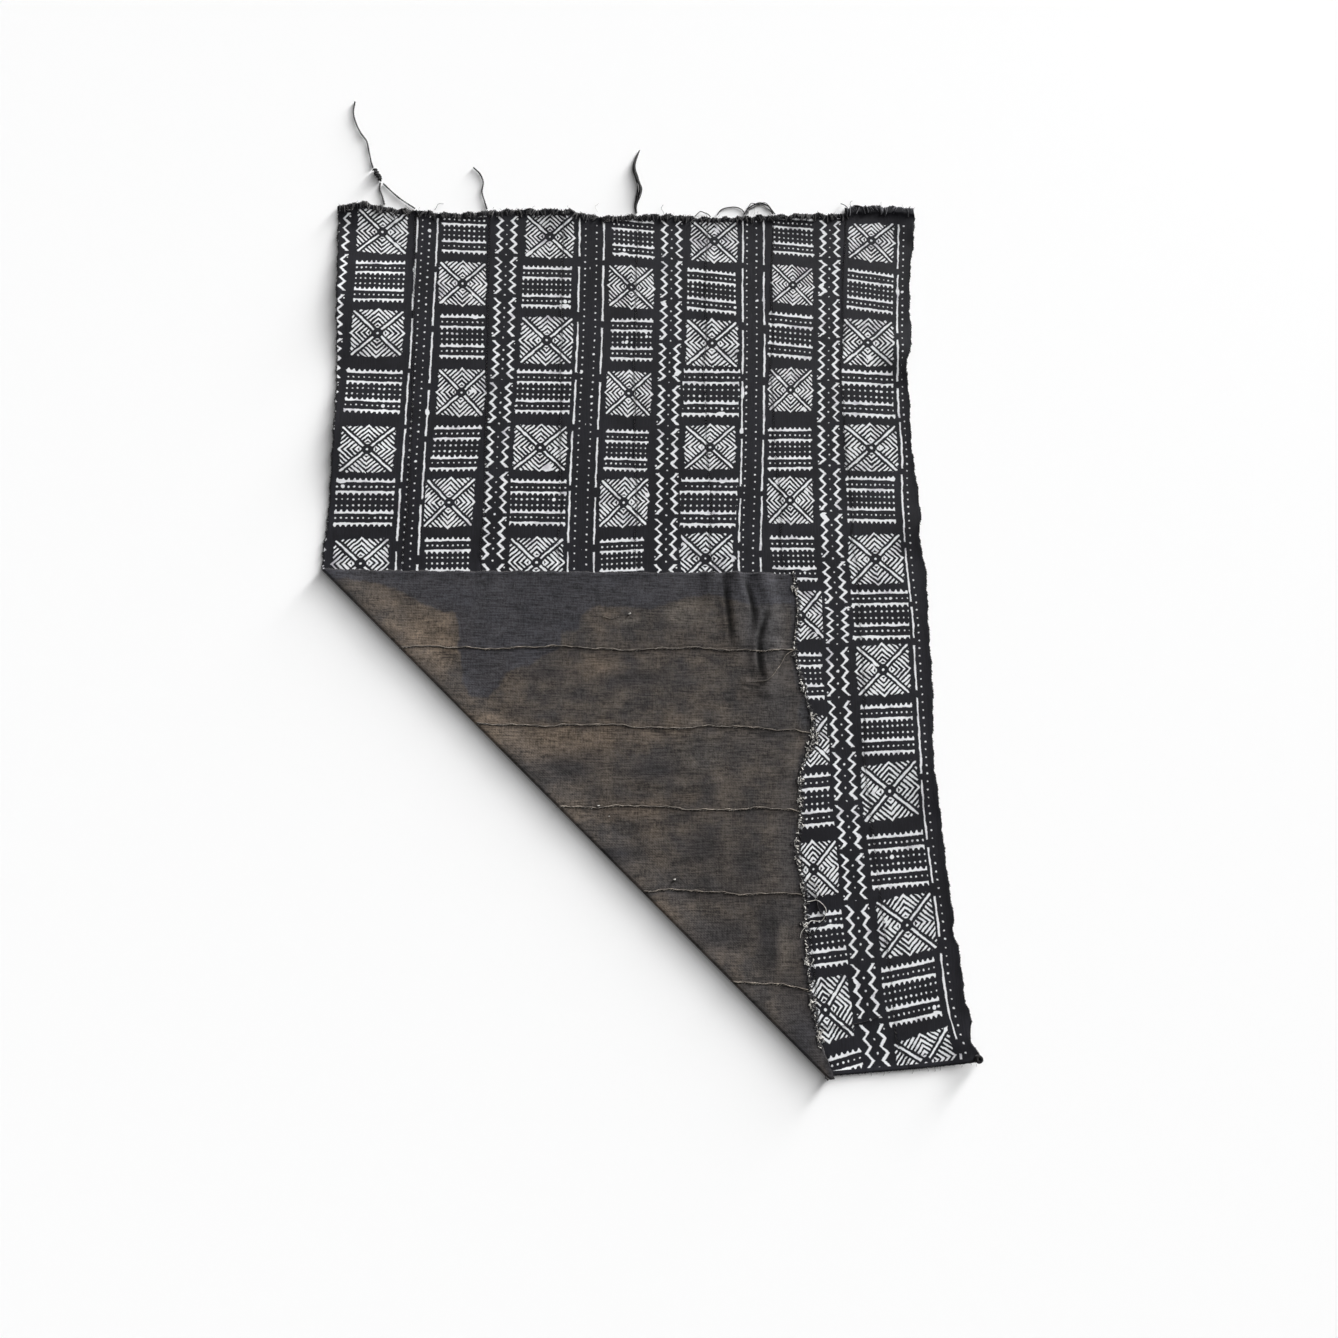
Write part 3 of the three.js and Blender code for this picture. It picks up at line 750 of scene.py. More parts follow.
def stripRows(strip, seam):
    top = topOf(seam)
    folded = strip <= cloth["foldedStrips"]
    if strip == cloth["strips"]:
        hem, tall = cloth["hemLength"], cloth["hemHeight"]
        drops = [-hem, -hem + 0.8, -hem + 2.2, -0.7 * hem, -7, -4, -1.5, 0, 1.8, 3.6, 6, 9]
        shares = [0.3, 0.7, 0.95, 1, 1.02, 1, 0.95, 0.75, 0.35, 0.15, 0.05, 0]
    else:
        tall = cloth["rimHeight"]
        drops = [0, 1, 2.2, 3.6, 5.2, 7, 9]
        shares = [0.2, 0.7, 0.95, 1, 0.7, 0.25, 0]
    rows = [(top - drop, share * tall) for drop, share in zip(drops, shares)]
    start = rows[-1][0]
    if folded:
        bottom = foldCrossing(seam, 0.0)
    else:
        tip = foldCrossing(np.array(float(cloth["foldedStrips"])), 0.0)
        bottom = tip + along(hemmedEnd, 1, seam) + 9
    count = round(float(np.mean(start - bottom)) / cloth["step"])
    rows += [(start + (bottom - start) * i / count, 0) for i in range(1, count + 1)]
    if not folded:
        drops, shares = [1.8, 3.6, 5.4, 6.8, 8, 9], [0.25, 0.7, 1, 0.95, 0.7, 0.2]
        return rows + [(bottom - drop, share * cloth["rimHeight"]) for drop, share in zip(drops, shares)]
    rows += [(foldCrossing(seam, bendLength * i / 12), 0) for i in range(1, 13)]
    start = rows[-1][0]
    tip = foldCrossing(np.array(float(cloth["foldedStrips"])), bendLength + cloth["tipLength"])
    blend = np.clip((seam - 5.5) * 2, 0, 1)
    end = along(rawEnd, 1, np.minimum(seam, 5.5)) * (1 - blend) + tip * blend
    ragged = 0.9 * np.sin(41 * seam) + 0.7 * np.sin(97 * seam + 1) + 0.5 * np.sin(173 * seam)
    end = end + (1 - blend) * ragged
    count = max(round(float(np.mean(start - end)) / cloth["step"]), 6)
    rows += [(start + (end - start) * (1 - (1 - i / count) ** 1.15), 0) for i in range(1, count + 1)]
    return rows


def stripPiece(strip, materials):
    columns, width = stripLines(strip)
    seam = strip - 1 + columns
    rows = stripRows(strip, seam)
    y = np.array([np.broadcast_to(row[0], seam.shape) for row in rows])
    rim = np.array([np.full(seam.shape, row[1]) for row in rows])
    x = acrossAt(seam[None], y) + cloth["seamGap"] * (0.5 - columns)
    fromLeft, fromRight = columns * width, (1 - columns) * width
    for outer, off, sign in ((strip == 1, fromLeft, -1), (strip == cloth["strips"], fromRight, 1)):
        if outer:
            selvedge = cloth["selvedgeHeight"] * np.interp(off, [0, 1, 3.6, 9], [0.2, 0.7, 1, 0])
            rim = np.maximum(rim, selvedge[None])
            x = x + sign * edgeWave(y, strip) * np.clip(1 - off / 9, 0, 1)[None]
    centre, front, turned = layCloth(x, y)
    dip, reach = cloth["seamDip"]
    half = cloth["thickness"] / 2 - dip * np.exp(-(np.minimum(fromLeft, fromRight) / reach) ** 2)[None]
    upper = centre + front * (half + rim * (1 - turned))[..., None]
    lower = centre - front * (half + rim * turned)[..., None]
    rowCount, columnCount = y.shape
    grid = np.arange(rowCount * columnCount).reshape(rowCount, columnCount)
    under = grid + grid.size
    a, b, c, d = grid[:-1, :-1], grid[1:, :-1], grid[1:, 1:], grid[:-1, 1:]
    frontFaces = np.stack([a, b, c, d], -1).reshape(-1, 4)
    backFaces = np.stack([a, d, c, b], -1).reshape(-1, 4) + grid.size
    walls = np.concatenate([
        np.stack([grid[:-1, 0], under[:-1, 0], under[1:, 0], grid[1:, 0]], -1),
        np.stack([grid[:-1, -1], grid[1:, -1], under[1:, -1], under[:-1, -1]], -1),
        np.stack([grid[0, :-1], grid[0, 1:], under[0, 1:], under[0, :-1]], -1),
        np.stack([grid[-1, :-1], under[-1, :-1], under[-1, 1:], grid[-1, 1:]], -1)])
    faces = np.concatenate([frontFaces, backFaces, walls])
    piece = newPiece(f"woven_strip_{strip}", np.concatenate([upper.reshape(-1, 3), lower.reshape(-1, 3)]),
                     faces.tolist(), materials)
    mesh = piece.data
    backCount = len(backFaces)
    side = np.concatenate([np.zeros(len(frontFaces)), np.ones(backCount), np.full(len(walls), 2)]).astype(int)
    mesh.polygons.foreach_set("material_index", side)
    mesh.polygons.foreach_set("use_smooth", side < 2)

    flatX, flatY = np.tile(x.ravel(), 2), np.tile(y.ravel(), 2)
    cornerX, cornerY = flatX[faces], flatY[faces]
    marksX, marksY = markMap(cornerX.mean(1), cornerY.mean(1), cornerX, cornerY)
    nearest = topOf(seam)[None] - y - bareEdges["hem" if strip == cloth["strips"] else "top"]
    if strip == 1:
        nearest = np.minimum(nearest, (fromLeft - bareEdges["left"])[None])
    if strip == cloth["strips"]:
        nearest = np.minimum(nearest, (fromRight - bareEdges["right"])[None])
    if strip > cloth["foldedStrips"]:
        nearest = np.minimum(nearest, y - y[-1:] - bareEdges["lower"])
    bare = (side > 0) | (np.tile(nearest.ravel(), 2)[faces].mean(1) < 0)
    marksX[bare], marksY[bare] = 0, 0
    spread = [("marks", marksX, marksY), ("cloth", cornerX, cornerY)]

    # Own map for the baked pictures: thirds of the front, then of the back, side by side
    topY, endY = flatY.max(), flatY.min()
    third = (topY - endY) / 3
    part = np.clip(((topY - cornerY.mean(1)) // third), 0, 2)
    onBack = (faces >= grid.size).astype(float)
    cornerShare = np.tile(np.tile(columns, rowCount), 2)[faces]
    panel = part + 3 * (side == 1)
    atWall = np.where(side[:, None] == 2, 0.03 * onBack * np.sign(cornerShare - 0.5), 0)
    share = 0.04 + 0.92 * cornerShare + atWall
    down = 0.006 + 0.988 * ((topY - cornerY) / third - part[:, None])
    spread.append(("OFBake", (panel[:, None] + share) / 6, 1 - down))
    for name, u, v in spread:
        layer = mesh.uv_layers.new(name=name)
        layer.data.foreach_set("uv", np.stack([u.ravel(), v.ravel()], -1).astype(np.float32).ravel())
    mesh.uv_layers.active = mesh.uv_layers["cloth"]

    place = np.tile(centre.reshape(-1, 3), (2, 1))
    corner = np.tile(turned.ravel(), 2) > 0.5
    rawBand = np.tile(np.exp(-((y - y[-1:]) / cloth["rawShade"]) ** 2).ravel(), 2)
    rawBand = rawBand * (strip <= cloth["foldedStrips"])
    stainsAndPaintedShade = {kind: patchStrength(kind, place[:, 0], place[:, 1]) for kind in ("tan", "dark", "blue", "worn")}
    stainsAndPaintedShade["dark"] = np.maximum(stainsAndPaintedShade["dark"], rawBand)
    stainsAndPaintedShade["stain"] = np.where(corner, stainDepth(place[:, 0], place[:, 1]), -60)
    # Painted shade along the creases of the folded corner
    stainsAndPaintedShade["crease"] = np.where(corner, creaseShade(place[:, 0], place[:, 1]), 0)
    # Painted shadow: a dark line along each seam's join, on the left side of every strip but the first
    stainsAndPaintedShade["seam"] = np.tile(np.exp(-(fromLeft / cloth["seamShade"]) ** 2) * (strip > 1), 2 * rowCount)
    for name, values in stainsAndPaintedShade.items():
        layer = mesh.attributes.new(name, "FLOAT", "POINT")
        layer.data.foreach_set("value", values.astype(np.float32))
    return piece


# Finishes of the cloth

frontFinish = {
    "ground": "#111116",
    "groundWorn": "#1C1C22",
    "mark": "#E0E1E3",
    "markFaint": "#A19DA6",
    "thread": 1.25,  # mm from one thread to the next
    "stripePitch": 9.3,  # of the squares
    "squareHalf": 45.0,
    "toothPitch": 9.45,  # of the combs
    "zigzagWave": 17.9,
    "dotPitch": 13.3,
    "handDrawn": [(15, 2.3), (3.2, 1.3)],  # mm long and wide: a line's wobble, and its tremble
    "slub": (40, 1.6),  # mm long and wide
    "noises": {  # mm, detail, roughness
        "brush": (22, 2.0, 0.5), "blot": (34, 1.0, 0.5), "faint": (55, 4.0, 0.7), "worn": (90, 5.0, 0.6)},
}
backFinish = {
    "ground": "#49423C",
    "groundDeep": "#343130",
    "stain": "#303035",
    "tan": "#605448",
    "dark": "#252427",
    "blue": "#363639",
    "worn": "#69635C",
    "thread": 1.25,
    "slub": (30, 2.6),  # mm long and wide, as coarse as shows
    "crossSlub": (16, 2.2),
    "mottle": (62, 26),  # mm, of the darker and lighter places
    "soakedBorder": (13.5, 18.5),  # mm over which the old stain ends
    "noises": {"cloud": (42, 6.0, 0.62), "fine": (5, 4.0, 0.85)},  # mm, detail, roughness
}


def weaveHeight(tree, place, pitch):
    # Plain weave: the product of two waves is high where a thread passes over
    split = addNode(tree, "ShaderNodeSeparateXYZ", [place])
    waves = []
    for axis in (0, 1):
        turns = addNode(tree, "ShaderNodeMath", [split.outputs[axis], math.pi / pitch], operation="MULTIPLY")
        waves.append(addNode(tree, "ShaderNodeMath", [turns], operation="SINE"))
    return addNode(tree, "ShaderNodeMath", waves, operation="MULTIPLY")


def slubs(tree, place, long, short):
    # Thick and thin stretches of hand-spun thread, along the strip
    stretched = addNode(tree, "ShaderNodeVectorMath", [place, (1 / short, 1 / long, 1)], operation="MULTIPLY")
    return addNode(tree, "ShaderNodeTexNoise", {
        "Vector": stretched, "Scale": 1.0, "Detail": 3.0, "Roughness": 0.7}, noise_dimensions="2D")


# Steps of the marks: name, operation, terms. p and q are mm across and along a mark, results are mm inside it
markSteps = [
    ("ap", "ABSOLUTE", "p"), ("aq", "ABSOLUTE", "q"),
    ("m", "MAXIMUM", "ap", "aq"), ("n", "MINIMUM", "ap", "aq"),
    # a square: in each quarter chevrons, the innermost one closed, parted by two diagonal bars
    ("f", "ADD", "m", "n"), ("f1", "ADD", "f", 3.85), ("f2", "PINGPONG", "f1", "halfStripe"),
    ("stripes", "MULTIPLY_ADD", "f2", 0.71, -1.8), ("f3", "SUBTRACT", "f", 14.5),
    ("f4", "MINIMUM", "stripes", "f3"),
    ("v1", "SUBTRACT", "m", 11.6), ("v2", "ABSOLUTE", "v1"), ("v3", "SUBTRACT", 1.4, "v2"),
    ("v4", "SUBTRACT", 4.0, "n"), ("eye", "MINIMUM", "v3", "v4"),
    ("quarter", "MAXIMUM", "f4", "eye"),
    ("d1", "SUBTRACT", "m", "n"), ("diagonal", "MULTIPLY", "d1", 0.7071),
    ("clear", "SUBTRACT", "diagonal", 6.2), ("c1", "MINIMUM", "quarter", "clear"),
    ("bar", "SUBTRACT", 1.8, "diagonal"), ("c2", "MAXIMUM", "c1", "bar"),
    ("u1", "MULTIPLY", "f", 0.338), ("u2", "SINE", "u1"), ("u3", "MULTIPLY_ADD", "u2", 1.3, "squareHalf"),
    ("w1", "SUBTRACT", "u3", "m"), ("w2", "SUBTRACT", 50.8, "f"), ("inside", "MAXIMUM", "w1", "w2"),
    ("c3", "MINIMUM", "c2", "inside"),
    ("mm", "MULTIPLY", "m", "m"), ("rr", "MULTIPLY_ADD", "n", "n", "mm"), ("r", "SQRT", "rr"),
    ("hub", "SUBTRACT", "r", 9.3), ("c4", "MINIMUM", "c3", "hub"),
    ("pip", "SUBTRACT", 2.2, "r"), ("square", "MAXIMUM", "c4", "pip"),
    # a comb: four toothed bars and rows of dots between them; those of the narrow columns are cut shorter
    ("tooth", "PINGPONG", "p", "halfTooth"), ("t0", "MULTIPLY_ADD", "tooth", -1.8, 5.2),
    ("teeth", "MINIMUM", "t0", 4.1), ("teethOut", "MAXIMUM", "teeth", 0.0),
    ("o1", "SUBTRACT", 41.0, "aq"), ("o2", "ADD", "o1", "teethOut"), ("o3", "SUBTRACT", "aq", 37.6),
    ("outerBar", "MINIMUM", "o2", "o3"),
    ("i1", "SUBTRACT", "aq", 17.5), ("i2", "ADD", "i1", "teethOut"), ("i3", "SUBTRACT", 20.9, "aq"),
    ("innerBar", "MINIMUM", "i2", "i3"), ("bars", "MAXIMUM", "outerBar", "innerBar"),
    ("r1", "SUBTRACT", "aq", 29.0), ("r2", "ABSOLUTE", "r1"), ("r3", "SUBTRACT", "aq", 5.7),
    ("r4", "ABSOLUTE", "r3"),
    ("r5", "MINIMUM", "r2", "r4"), ("r6", "MULTIPLY", "r5", "r5"),
    ("r7", "MULTIPLY_ADD", "tooth", "tooth", "r6"),
    ("r8", "SQRT", "r7"), ("rowDots", "SUBTRACT", 1.55, "r8"), ("k1", "MAXIMUM", "bars", "rowDots"),
    ("k2", "SUBTRACT", 49.2, "ap"), ("comb", "MINIMUM", "k1", "k2"),
    ("k3", "SUBTRACT", 42.0, "ap"), ("narrowComb", "MINIMUM", "k1", "k3"),
    # two facing zigzags, with dots between them and at their ends
    ("z1", "ADD", "q", 35.8), ("z2", "PINGPONG", "z1", "halfWave"), ("z3", "MULTIPLY_ADD", "z2", -1.03, 17.3),
    ("z4", "SUBTRACT", "ap", "z3"), ("z5", "ABSOLUTE", "z4"), ("z6", "MULTIPLY_ADD", "z5", -0.67, 1.65),
    ("z7", "SUBTRACT", 36.4, "aq"), ("waves", "MINIMUM", "z6", "z7"),
    ("b1", "PINGPONG", "q", "halfWave"), ("b2", "MULTIPLY", "b1", "b1"),
    ("b3", "MULTIPLY_ADD", "p", "p", "b2"),
    ("b4", "SQRT", "b3"), ("b5", "SUBTRACT", 1.3, "b4"), ("b6", "SUBTRACT", 24.0, "aq"),
    ("bellies", "MINIMUM", "b5", "b6"),
    ("e1", "ADD", "q", 38.4), ("e2", "MULTIPLY", "e1", "e1"), ("e3", "MULTIPLY_ADD", "p", "p", "e2"),
    ("e4", "SQRT", "e3"), ("between", "SUBTRACT", 1.3, "e4"),
    ("s1", "SIGN", "q"), ("s2", "MULTIPLY_ADD", "p", "s1", -18.8), ("s3", "SUBTRACT", "aq", 30.5),
    ("s4", "MULTIPLY", "s3", "s3"), ("s5", "MULTIPLY_ADD", "s2", "s2", "s4"), ("s6", "SQRT", "s5"),
    ("outside", "SUBTRACT", 1.25, "s6"),
    ("y1", "MAXIMUM", "waves", "bellies"), ("y2", "MAXIMUM", "y1", "between"),
    ("zigzag", "MAXIMUM", "y2", "outside"),
    # a drawn line, and two columns of dots
    ("l1", "SUBTRACT", 1.4, "ap"), ("l2", "SUBTRACT", 45.0, "aq"), ("line", "MINIMUM", "l1", "l2"),
    ("t1", "GREATER_THAN", "p", 0.0), ("t2", "MULTIPLY_ADD", "t1", "halfDot", "q"),
    ("t3", "PINGPONG", "t2", "halfDot"),
    ("t4", "SUBTRACT", "ap", dotsApart), ("t5", "MULTIPLY", "t4", "t4"),
    ("t6", "MULTIPLY_ADD", "t3", "t3", "t5"),
    ("t7", "SQRT", "t6"), ("dots", "SUBTRACT", 1.25, "t7"),
]


def dyedFront():
    # Hand-woven cotton, dyed almost black with mud and bleached in drawn marks: quite matt, with a
    # thread-by-thread texture under dye and marks alike
    material = newMaterial("mud-dyed woven cotton")
    tree = material.node_tree
    marks = addNode(tree, "ShaderNodeUVMap", uv_map="marks")
    flat = addNode(tree, "ShaderNodeUVMap", uv_map="cloth")
    split = addNode(tree, "ShaderNodeSeparateXYZ", [marks])
    number = addNode(tree, "ShaderNodeMath", [split.outputs[0], 1 / kindStep, 0.5], operation="MULTIPLY_ADD")
    kind = addNode(tree, "ShaderNodeMath", [number], operation="FLOOR")
    plainX = addNode(tree, "ShaderNodeMath", [kind, -kindStep, split.outputs[0]], operation="MULTIPLY_ADD")

    shift = [None, None]
    for long, reach in frontFinish["handDrawn"]:
        drift = addNode(tree, "ShaderNodeTexNoise", {"Vector": flat, "Scale": 1 / long, "Detail": 1.0},
                        noise_dimensions="2D")
        parts = addNode(tree, "ShaderNodeSeparateColor", [drift.outputs["Color"]])
        for axis in (0, 1):
            start = shift[axis] if shift[axis] else (plainX.outputs[0], split.outputs[1])[axis]
            centred = addNode(tree, "ShaderNodeMath", [parts.outputs[axis], -0.5], operation="ADD")
            drawn = addNode(tree, "ShaderNodeMath", [centred, reach, start], operation="MULTIPLY_ADD")
            shift[axis] = drawn.outputs[0]

    values = {
        "p": shift[0], "q": shift[1],
        "halfStripe": frontFinish["stripePitch"] / 2, "squareHalf": frontFinish["squareHalf"],
        "halfTooth": frontFinish["toothPitch"] / 2, "halfWave": frontFinish["zigzagWave"] / 2,
        "halfDot": frontFinish["dotPitch"] / 2,
    }
    for name, operation, *terms in markSteps:
        values[name] = addNode(tree, "ShaderNodeMath", [values.get(term, term) for term in terms],
                               operation=operation).outputs[0]
    total = -10.0
    for name in ("square", "comb", "narrowComb", "zigzag", "line", "dots"):
        chosen = addNode(tree, "ShaderNodeMath", [kind, float(kinds[name]), 0.5], operation="COMPARE")
        raised = addNode(tree, "ShaderNodeMath", [values[name], 10.0], operation="ADD")
        total = addNode(tree, "ShaderNodeMath", [chosen, raised, total], operation="MULTIPLY_ADD")

    # The brush: thick and thin strokes, and now and then a blot
    noises = {}
    for name, (long, detail, roughness) in frontFinish["noises"].items():
        noises[name] = addNode(tree, "ShaderNodeTexNoise", {
            "Vector": flat, "Scale": 1 / long, "Detail": detail, "Roughness": roughness},
            noise_dimensions="2D")
    brushed = addNode(tree, "ShaderNodeMapRange", [noises["brush"], 0.3, 0.7, -0.45, 0.5])
    blotted = addNode(tree, "ShaderNodeMapRange", [noises["blot"], 0.73, 0.82, 0.0, 2.4])
    wide = addNode(tree, "ShaderNodeMath", [total, brushed], operation="ADD")
    wider = addNode(tree, "ShaderNodeMath", [wide, blotted], operation="ADD")
    weave = weaveHeight(tree, flat, frontFinish["thread"])
    ragged = addNode(tree, "ShaderNodeMath", [weave, 0.16, wider], operation="MULTIPLY_ADD")
    mask = addNode(tree, "ShaderNodeMath", [ragged, 1 / 0.9, 0.5], operation="MULTIPLY_ADD", use_clamp=True)

    streak = slubs(tree, flat, *frontFinish["slub"])
    mixed = addNode(tree, "ShaderNodeMath", [streak, noises["worn"]], operation="MULTIPLY")
    layers = []
    for noise, low, high, most, near, far in (
        (mixed, 0.16, 0.36, 1.0, "ground", "groundWorn"),
        (noises["faint"], 0.55, 0.78, 0.9, "mark", "markFaint"),
    ):
        share = addNode(tree, "ShaderNodeMapRange", [noise, low, high, 0.0, most])
        layer = addNode(tree, "ShaderNodeMix", {
            0: share, 6: linearColour(frontFinish[near]), 7: linearColour(frontFinish[far])},
            data_type="RGBA")
        layers.append(layer.outputs[2])
    colour = addNode(tree, "ShaderNodeMix", {0: mask, 6: layers[0], 7: layers[1]}, data_type="RGBA")
    height = addNode(tree, "ShaderNodeMath", [streak, 1.2, weave], operation="MULTIPLY_ADD")
    relief = addNode(tree, "ShaderNodeBump", {"Strength": 0.55, "Distance": 0.0003, "Height": height})
    shader = addNode(tree, "ShaderNodeBsdfPrincipled", {
        "Base Color": colour.outputs[2], "Roughness": 0.93, "Specular IOR Level": 0.2,
        "Sheen Weight": 0.06, "Normal": relief})
    addNode(tree, "ShaderNodeOutputMaterial", [shader])
    return material


def plainBack():
    # The undyed side, browned by the mud that soaked through: matt, streaked along the threads, stained, with
    # painted shade in its creases and painted shadow along its seams
    material = newMaterial("mud-stained woven cotton")
    tree = material.node_tree
    flat = addNode(tree, "ShaderNodeUVMap", uv_map="cloth")
    weave = weaveHeight(tree, flat, backFinish["thread"])
    alongStreak = slubs(tree, flat, *backFinish["slub"])
    crossStreak = slubs(tree, flat, *reversed(backFinish["crossSlub"]))
    cloud, fine = (
        addNode(tree, "ShaderNodeTexNoise", {
            "Vector": flat, "Scale": 1 / long, "Detail": detail, "Roughness": roughness},
            noise_dimensions="2D")
        for long, detail, roughness in backFinish["noises"].values())

    # Each soaked or worn place fades out through the cloud noise, so that no border is smooth
    colour = addNode(tree, "ShaderNodeMix", {
        0: addNode(tree, "ShaderNodeMapRange", [cloud, 0.35, 0.68, 1.0, 0.0]).outputs[0],
        6: linearColour(backFinish["ground"]), 7: linearColour(backFinish["groundDeep"])}, data_type="RGBA")
    for name, reach in (("tan", 0.85), ("blue", 0.9), ("dark", 0.95), ("worn", 0.7)):
        strength = addNode(tree, "ShaderNodeAttribute", attribute_name=name)
        torn = addNode(tree, "ShaderNodeMath", [strength.outputs["Fac"], cloud], operation="MULTIPLY")
        share = addNode(tree, "ShaderNodeMapRange", [torn, 0.06, 0.5, 0.0, reach])
        colour = addNode(tree, "ShaderNodeMix", {
            0: share.outputs[0], 6: colour.outputs[2], 7: linearColour(backFinish[name])}, data_type="RGBA")
    depth = addNode(tree, "ShaderNodeAttribute", attribute_name="stain")
    moved = addNode(tree, "ShaderNodeMath", [cloud, 24.0, depth.outputs["Fac"]], operation="MULTIPLY_ADD")
    ragged = addNode(tree, "ShaderNodeMath", [fine, 8.0, moved], operation="MULTIPLY_ADD")
    soaked = addNode(tree, "ShaderNodeMapRange", [ragged, *backFinish["soakedBorder"], 0.0, 0.88])
    colour = addNode(tree, "ShaderNodeMix", {
        0: soaked.outputs[0], 6: colour.outputs[2], 7: linearColour(backFinish["stain"])}, data_type="RGBA")

    mottle = slubs(tree, flat, *backFinish["mottle"])
    streaks = addNode(tree, "ShaderNodeMath", [crossStreak, 0.55, alongStreak], operation="MULTIPLY_ADD")
    grain = streaks
    for noise, share in ((fine, 0.9), (mottle, 0.55), (weave, 0.05)):
        grain = addNode(tree, "ShaderNodeMath", [noise, share, grain], operation="MULTIPLY_ADD")
    light = addNode(tree, "ShaderNodeMapRange", [grain, 1.20, 1.80, 0.26, 1.82])
    # Painted shade in the creases and painted shadow along the seams darken the colour
    shade = 1.0
    for name, depth in (("crease", -0.85), ("seam", -0.6)):
        here = addNode(tree, "ShaderNodeAttribute", attribute_name=name)
        shade = addNode(tree, "ShaderNodeMath", [here.outputs["Fac"], depth, shade], operation="MULTIPLY_ADD")
    lit = addNode(tree, "ShaderNodeMath", [light, shade], operation="MULTIPLY")
    shaded = addNode(tree, "ShaderNodeVectorMath", {0: colour.outputs[2], 3: lit}, operation="SCALE")
    height = addNode(tree, "ShaderNodeMath", [streaks, 1.6, weave], operation="MULTIPLY_ADD")
    relief = addNode(tree, "ShaderNodeBump", {"Strength": 0.6, "Distance": 0.00035, "Height": height})
    shader = addNode(tree, "ShaderNodeBsdfPrincipled", {
        "Base Color": shaded.outputs[0], "Roughness": 0.95, "Specular IOR Level": 0.2,
        "Sheen Weight": 0.15, "Normal": relief})
    addNode(tree, "ShaderNodeOutputMaterial", [shader])
    return material


dyedCotton = dyedFront()
stainedCotton = plainBack()
edgeCotton = spunCotton("dyed cotton thread of the edges", {
    "dark": "#151417", "light": "#4A4846", "streak": 1.6, "roughness": 0.95, "sheen": 0.1})
overcastCotton = spunCotton("worn overcast cotton thread", {
    "dark": "#1D1C1F", "light": "#747270", "streak": 1.9, "roughness": 0.95, "sheen": 0.15})
hemCotton = spunCotton("faded cotton thread of the hem", {
    "dark": "#2B2B2F", "light": "#85858A", "streak": 1.9, "roughness": 0.95, "sheen": 0.15})
paleCotton = spunCotton("undyed sewing thread", {
    "dark": "#4E4842", "light": "#978D80", "streak": 2.0, "roughness": 0.93, "sheen": 0.2})
rawCotton = spunCotton("frayed pale cotton", {
    "dark": "#A5A29C", "light": "#F0EEE9", "streak": 2.6, "roughness": 0.95, "sheen": 0.2})

for strip in range(1, cloth["strips"] + 1):
    piece = stripPiece(strip, [dyedCotton, stainedCotton, dyedCotton])
    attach(piece, "root")
    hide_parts(f"strip_{strip}")
    print("strip", strip, len(piece.data.polygons), "faces")

# Lines that the stitches and the fraying follow, each with its outer side on the left of its way


def clothLine(seam, y):
    seam, y = np.broadcast_arrays(np.asarray(seam, float), np.asarray(y, float))
    x = acrossAt(seam, y)
    outwards = np.where(seam == 0, -1, np.where(seam == cloth["strips"], 1, 0))
    x = x + outwards * edgeWave(y, np.where(seam == 0, 1, cloth["strips"]))
    return layCloth(x, y)[0]


def span(start, end, step=2.0):
    return np.linspace(start, end, max(int(abs(end - start) / step), 2))


def foldOf(seam, distance):
    return float(foldCrossing(np.array(float(seam)), distance))


lastSeam = cloth["strips"]
foldTip = foldOf(cloth["foldedStrips"], 0.0)
hemSeams = span(8, 6, 0.02)
upperSeams = span(0.02, 6.99, 0.02)
rawSeams = span(0.0, 5.6, 0.012)
edgeRuns = {
    "left": clothLine(0, span(foldOf(0, -2), topOf(0))),
    "top": clothLine(upperSeams, topOf(upperSeams)),
    "right": clothLine(lastSeam, span(topOf(8) + cloth["hemLength"], foldTip + 12)),
    "lower": clothLine(hemSeams, foldTip + along(hemmedEnd, 1, hemSeams)),
    "corner": clothLine(0, span(foldOf(0, bendLength + 2), rawEnd[0, 1])),
}
hemWidth = span(7.03, 7.99, 0.02)
hemRun = clothLine(hemWidth, topOf(hemWidth) + cloth["hemLength"])
rawRun = clothLine(rawSeams, along(rawEnd, 1, np.minimum(rawSeams, 5.5)))
rawOrder = np.argsort(rawRun[:, 1])
backSeams = []
for seam in range(1, cloth["foldedStrips"]):
    seamEnd = along(rawEnd, 1, np.array(float(seam))) + 3
    backSeams.append(clothLine(seam, span(foldOf(seam, 0.6 * bendLength), seamEnd)))
frontSeams = [clothLine(seam, span(topOf(seam) - 10, 84 if seam < 6 else foldTip + (20 if seam == 6 else 12)))
              for seam in range(1, 8)]


def baseTop(x, y):
    # Height of the front of the single cloth
    return layCloth(x, y)[0][..., 2] + cloth["thickness"] / 2


# One tree sets curved pieces of thread along lines: stitches, fraying and loose fibres


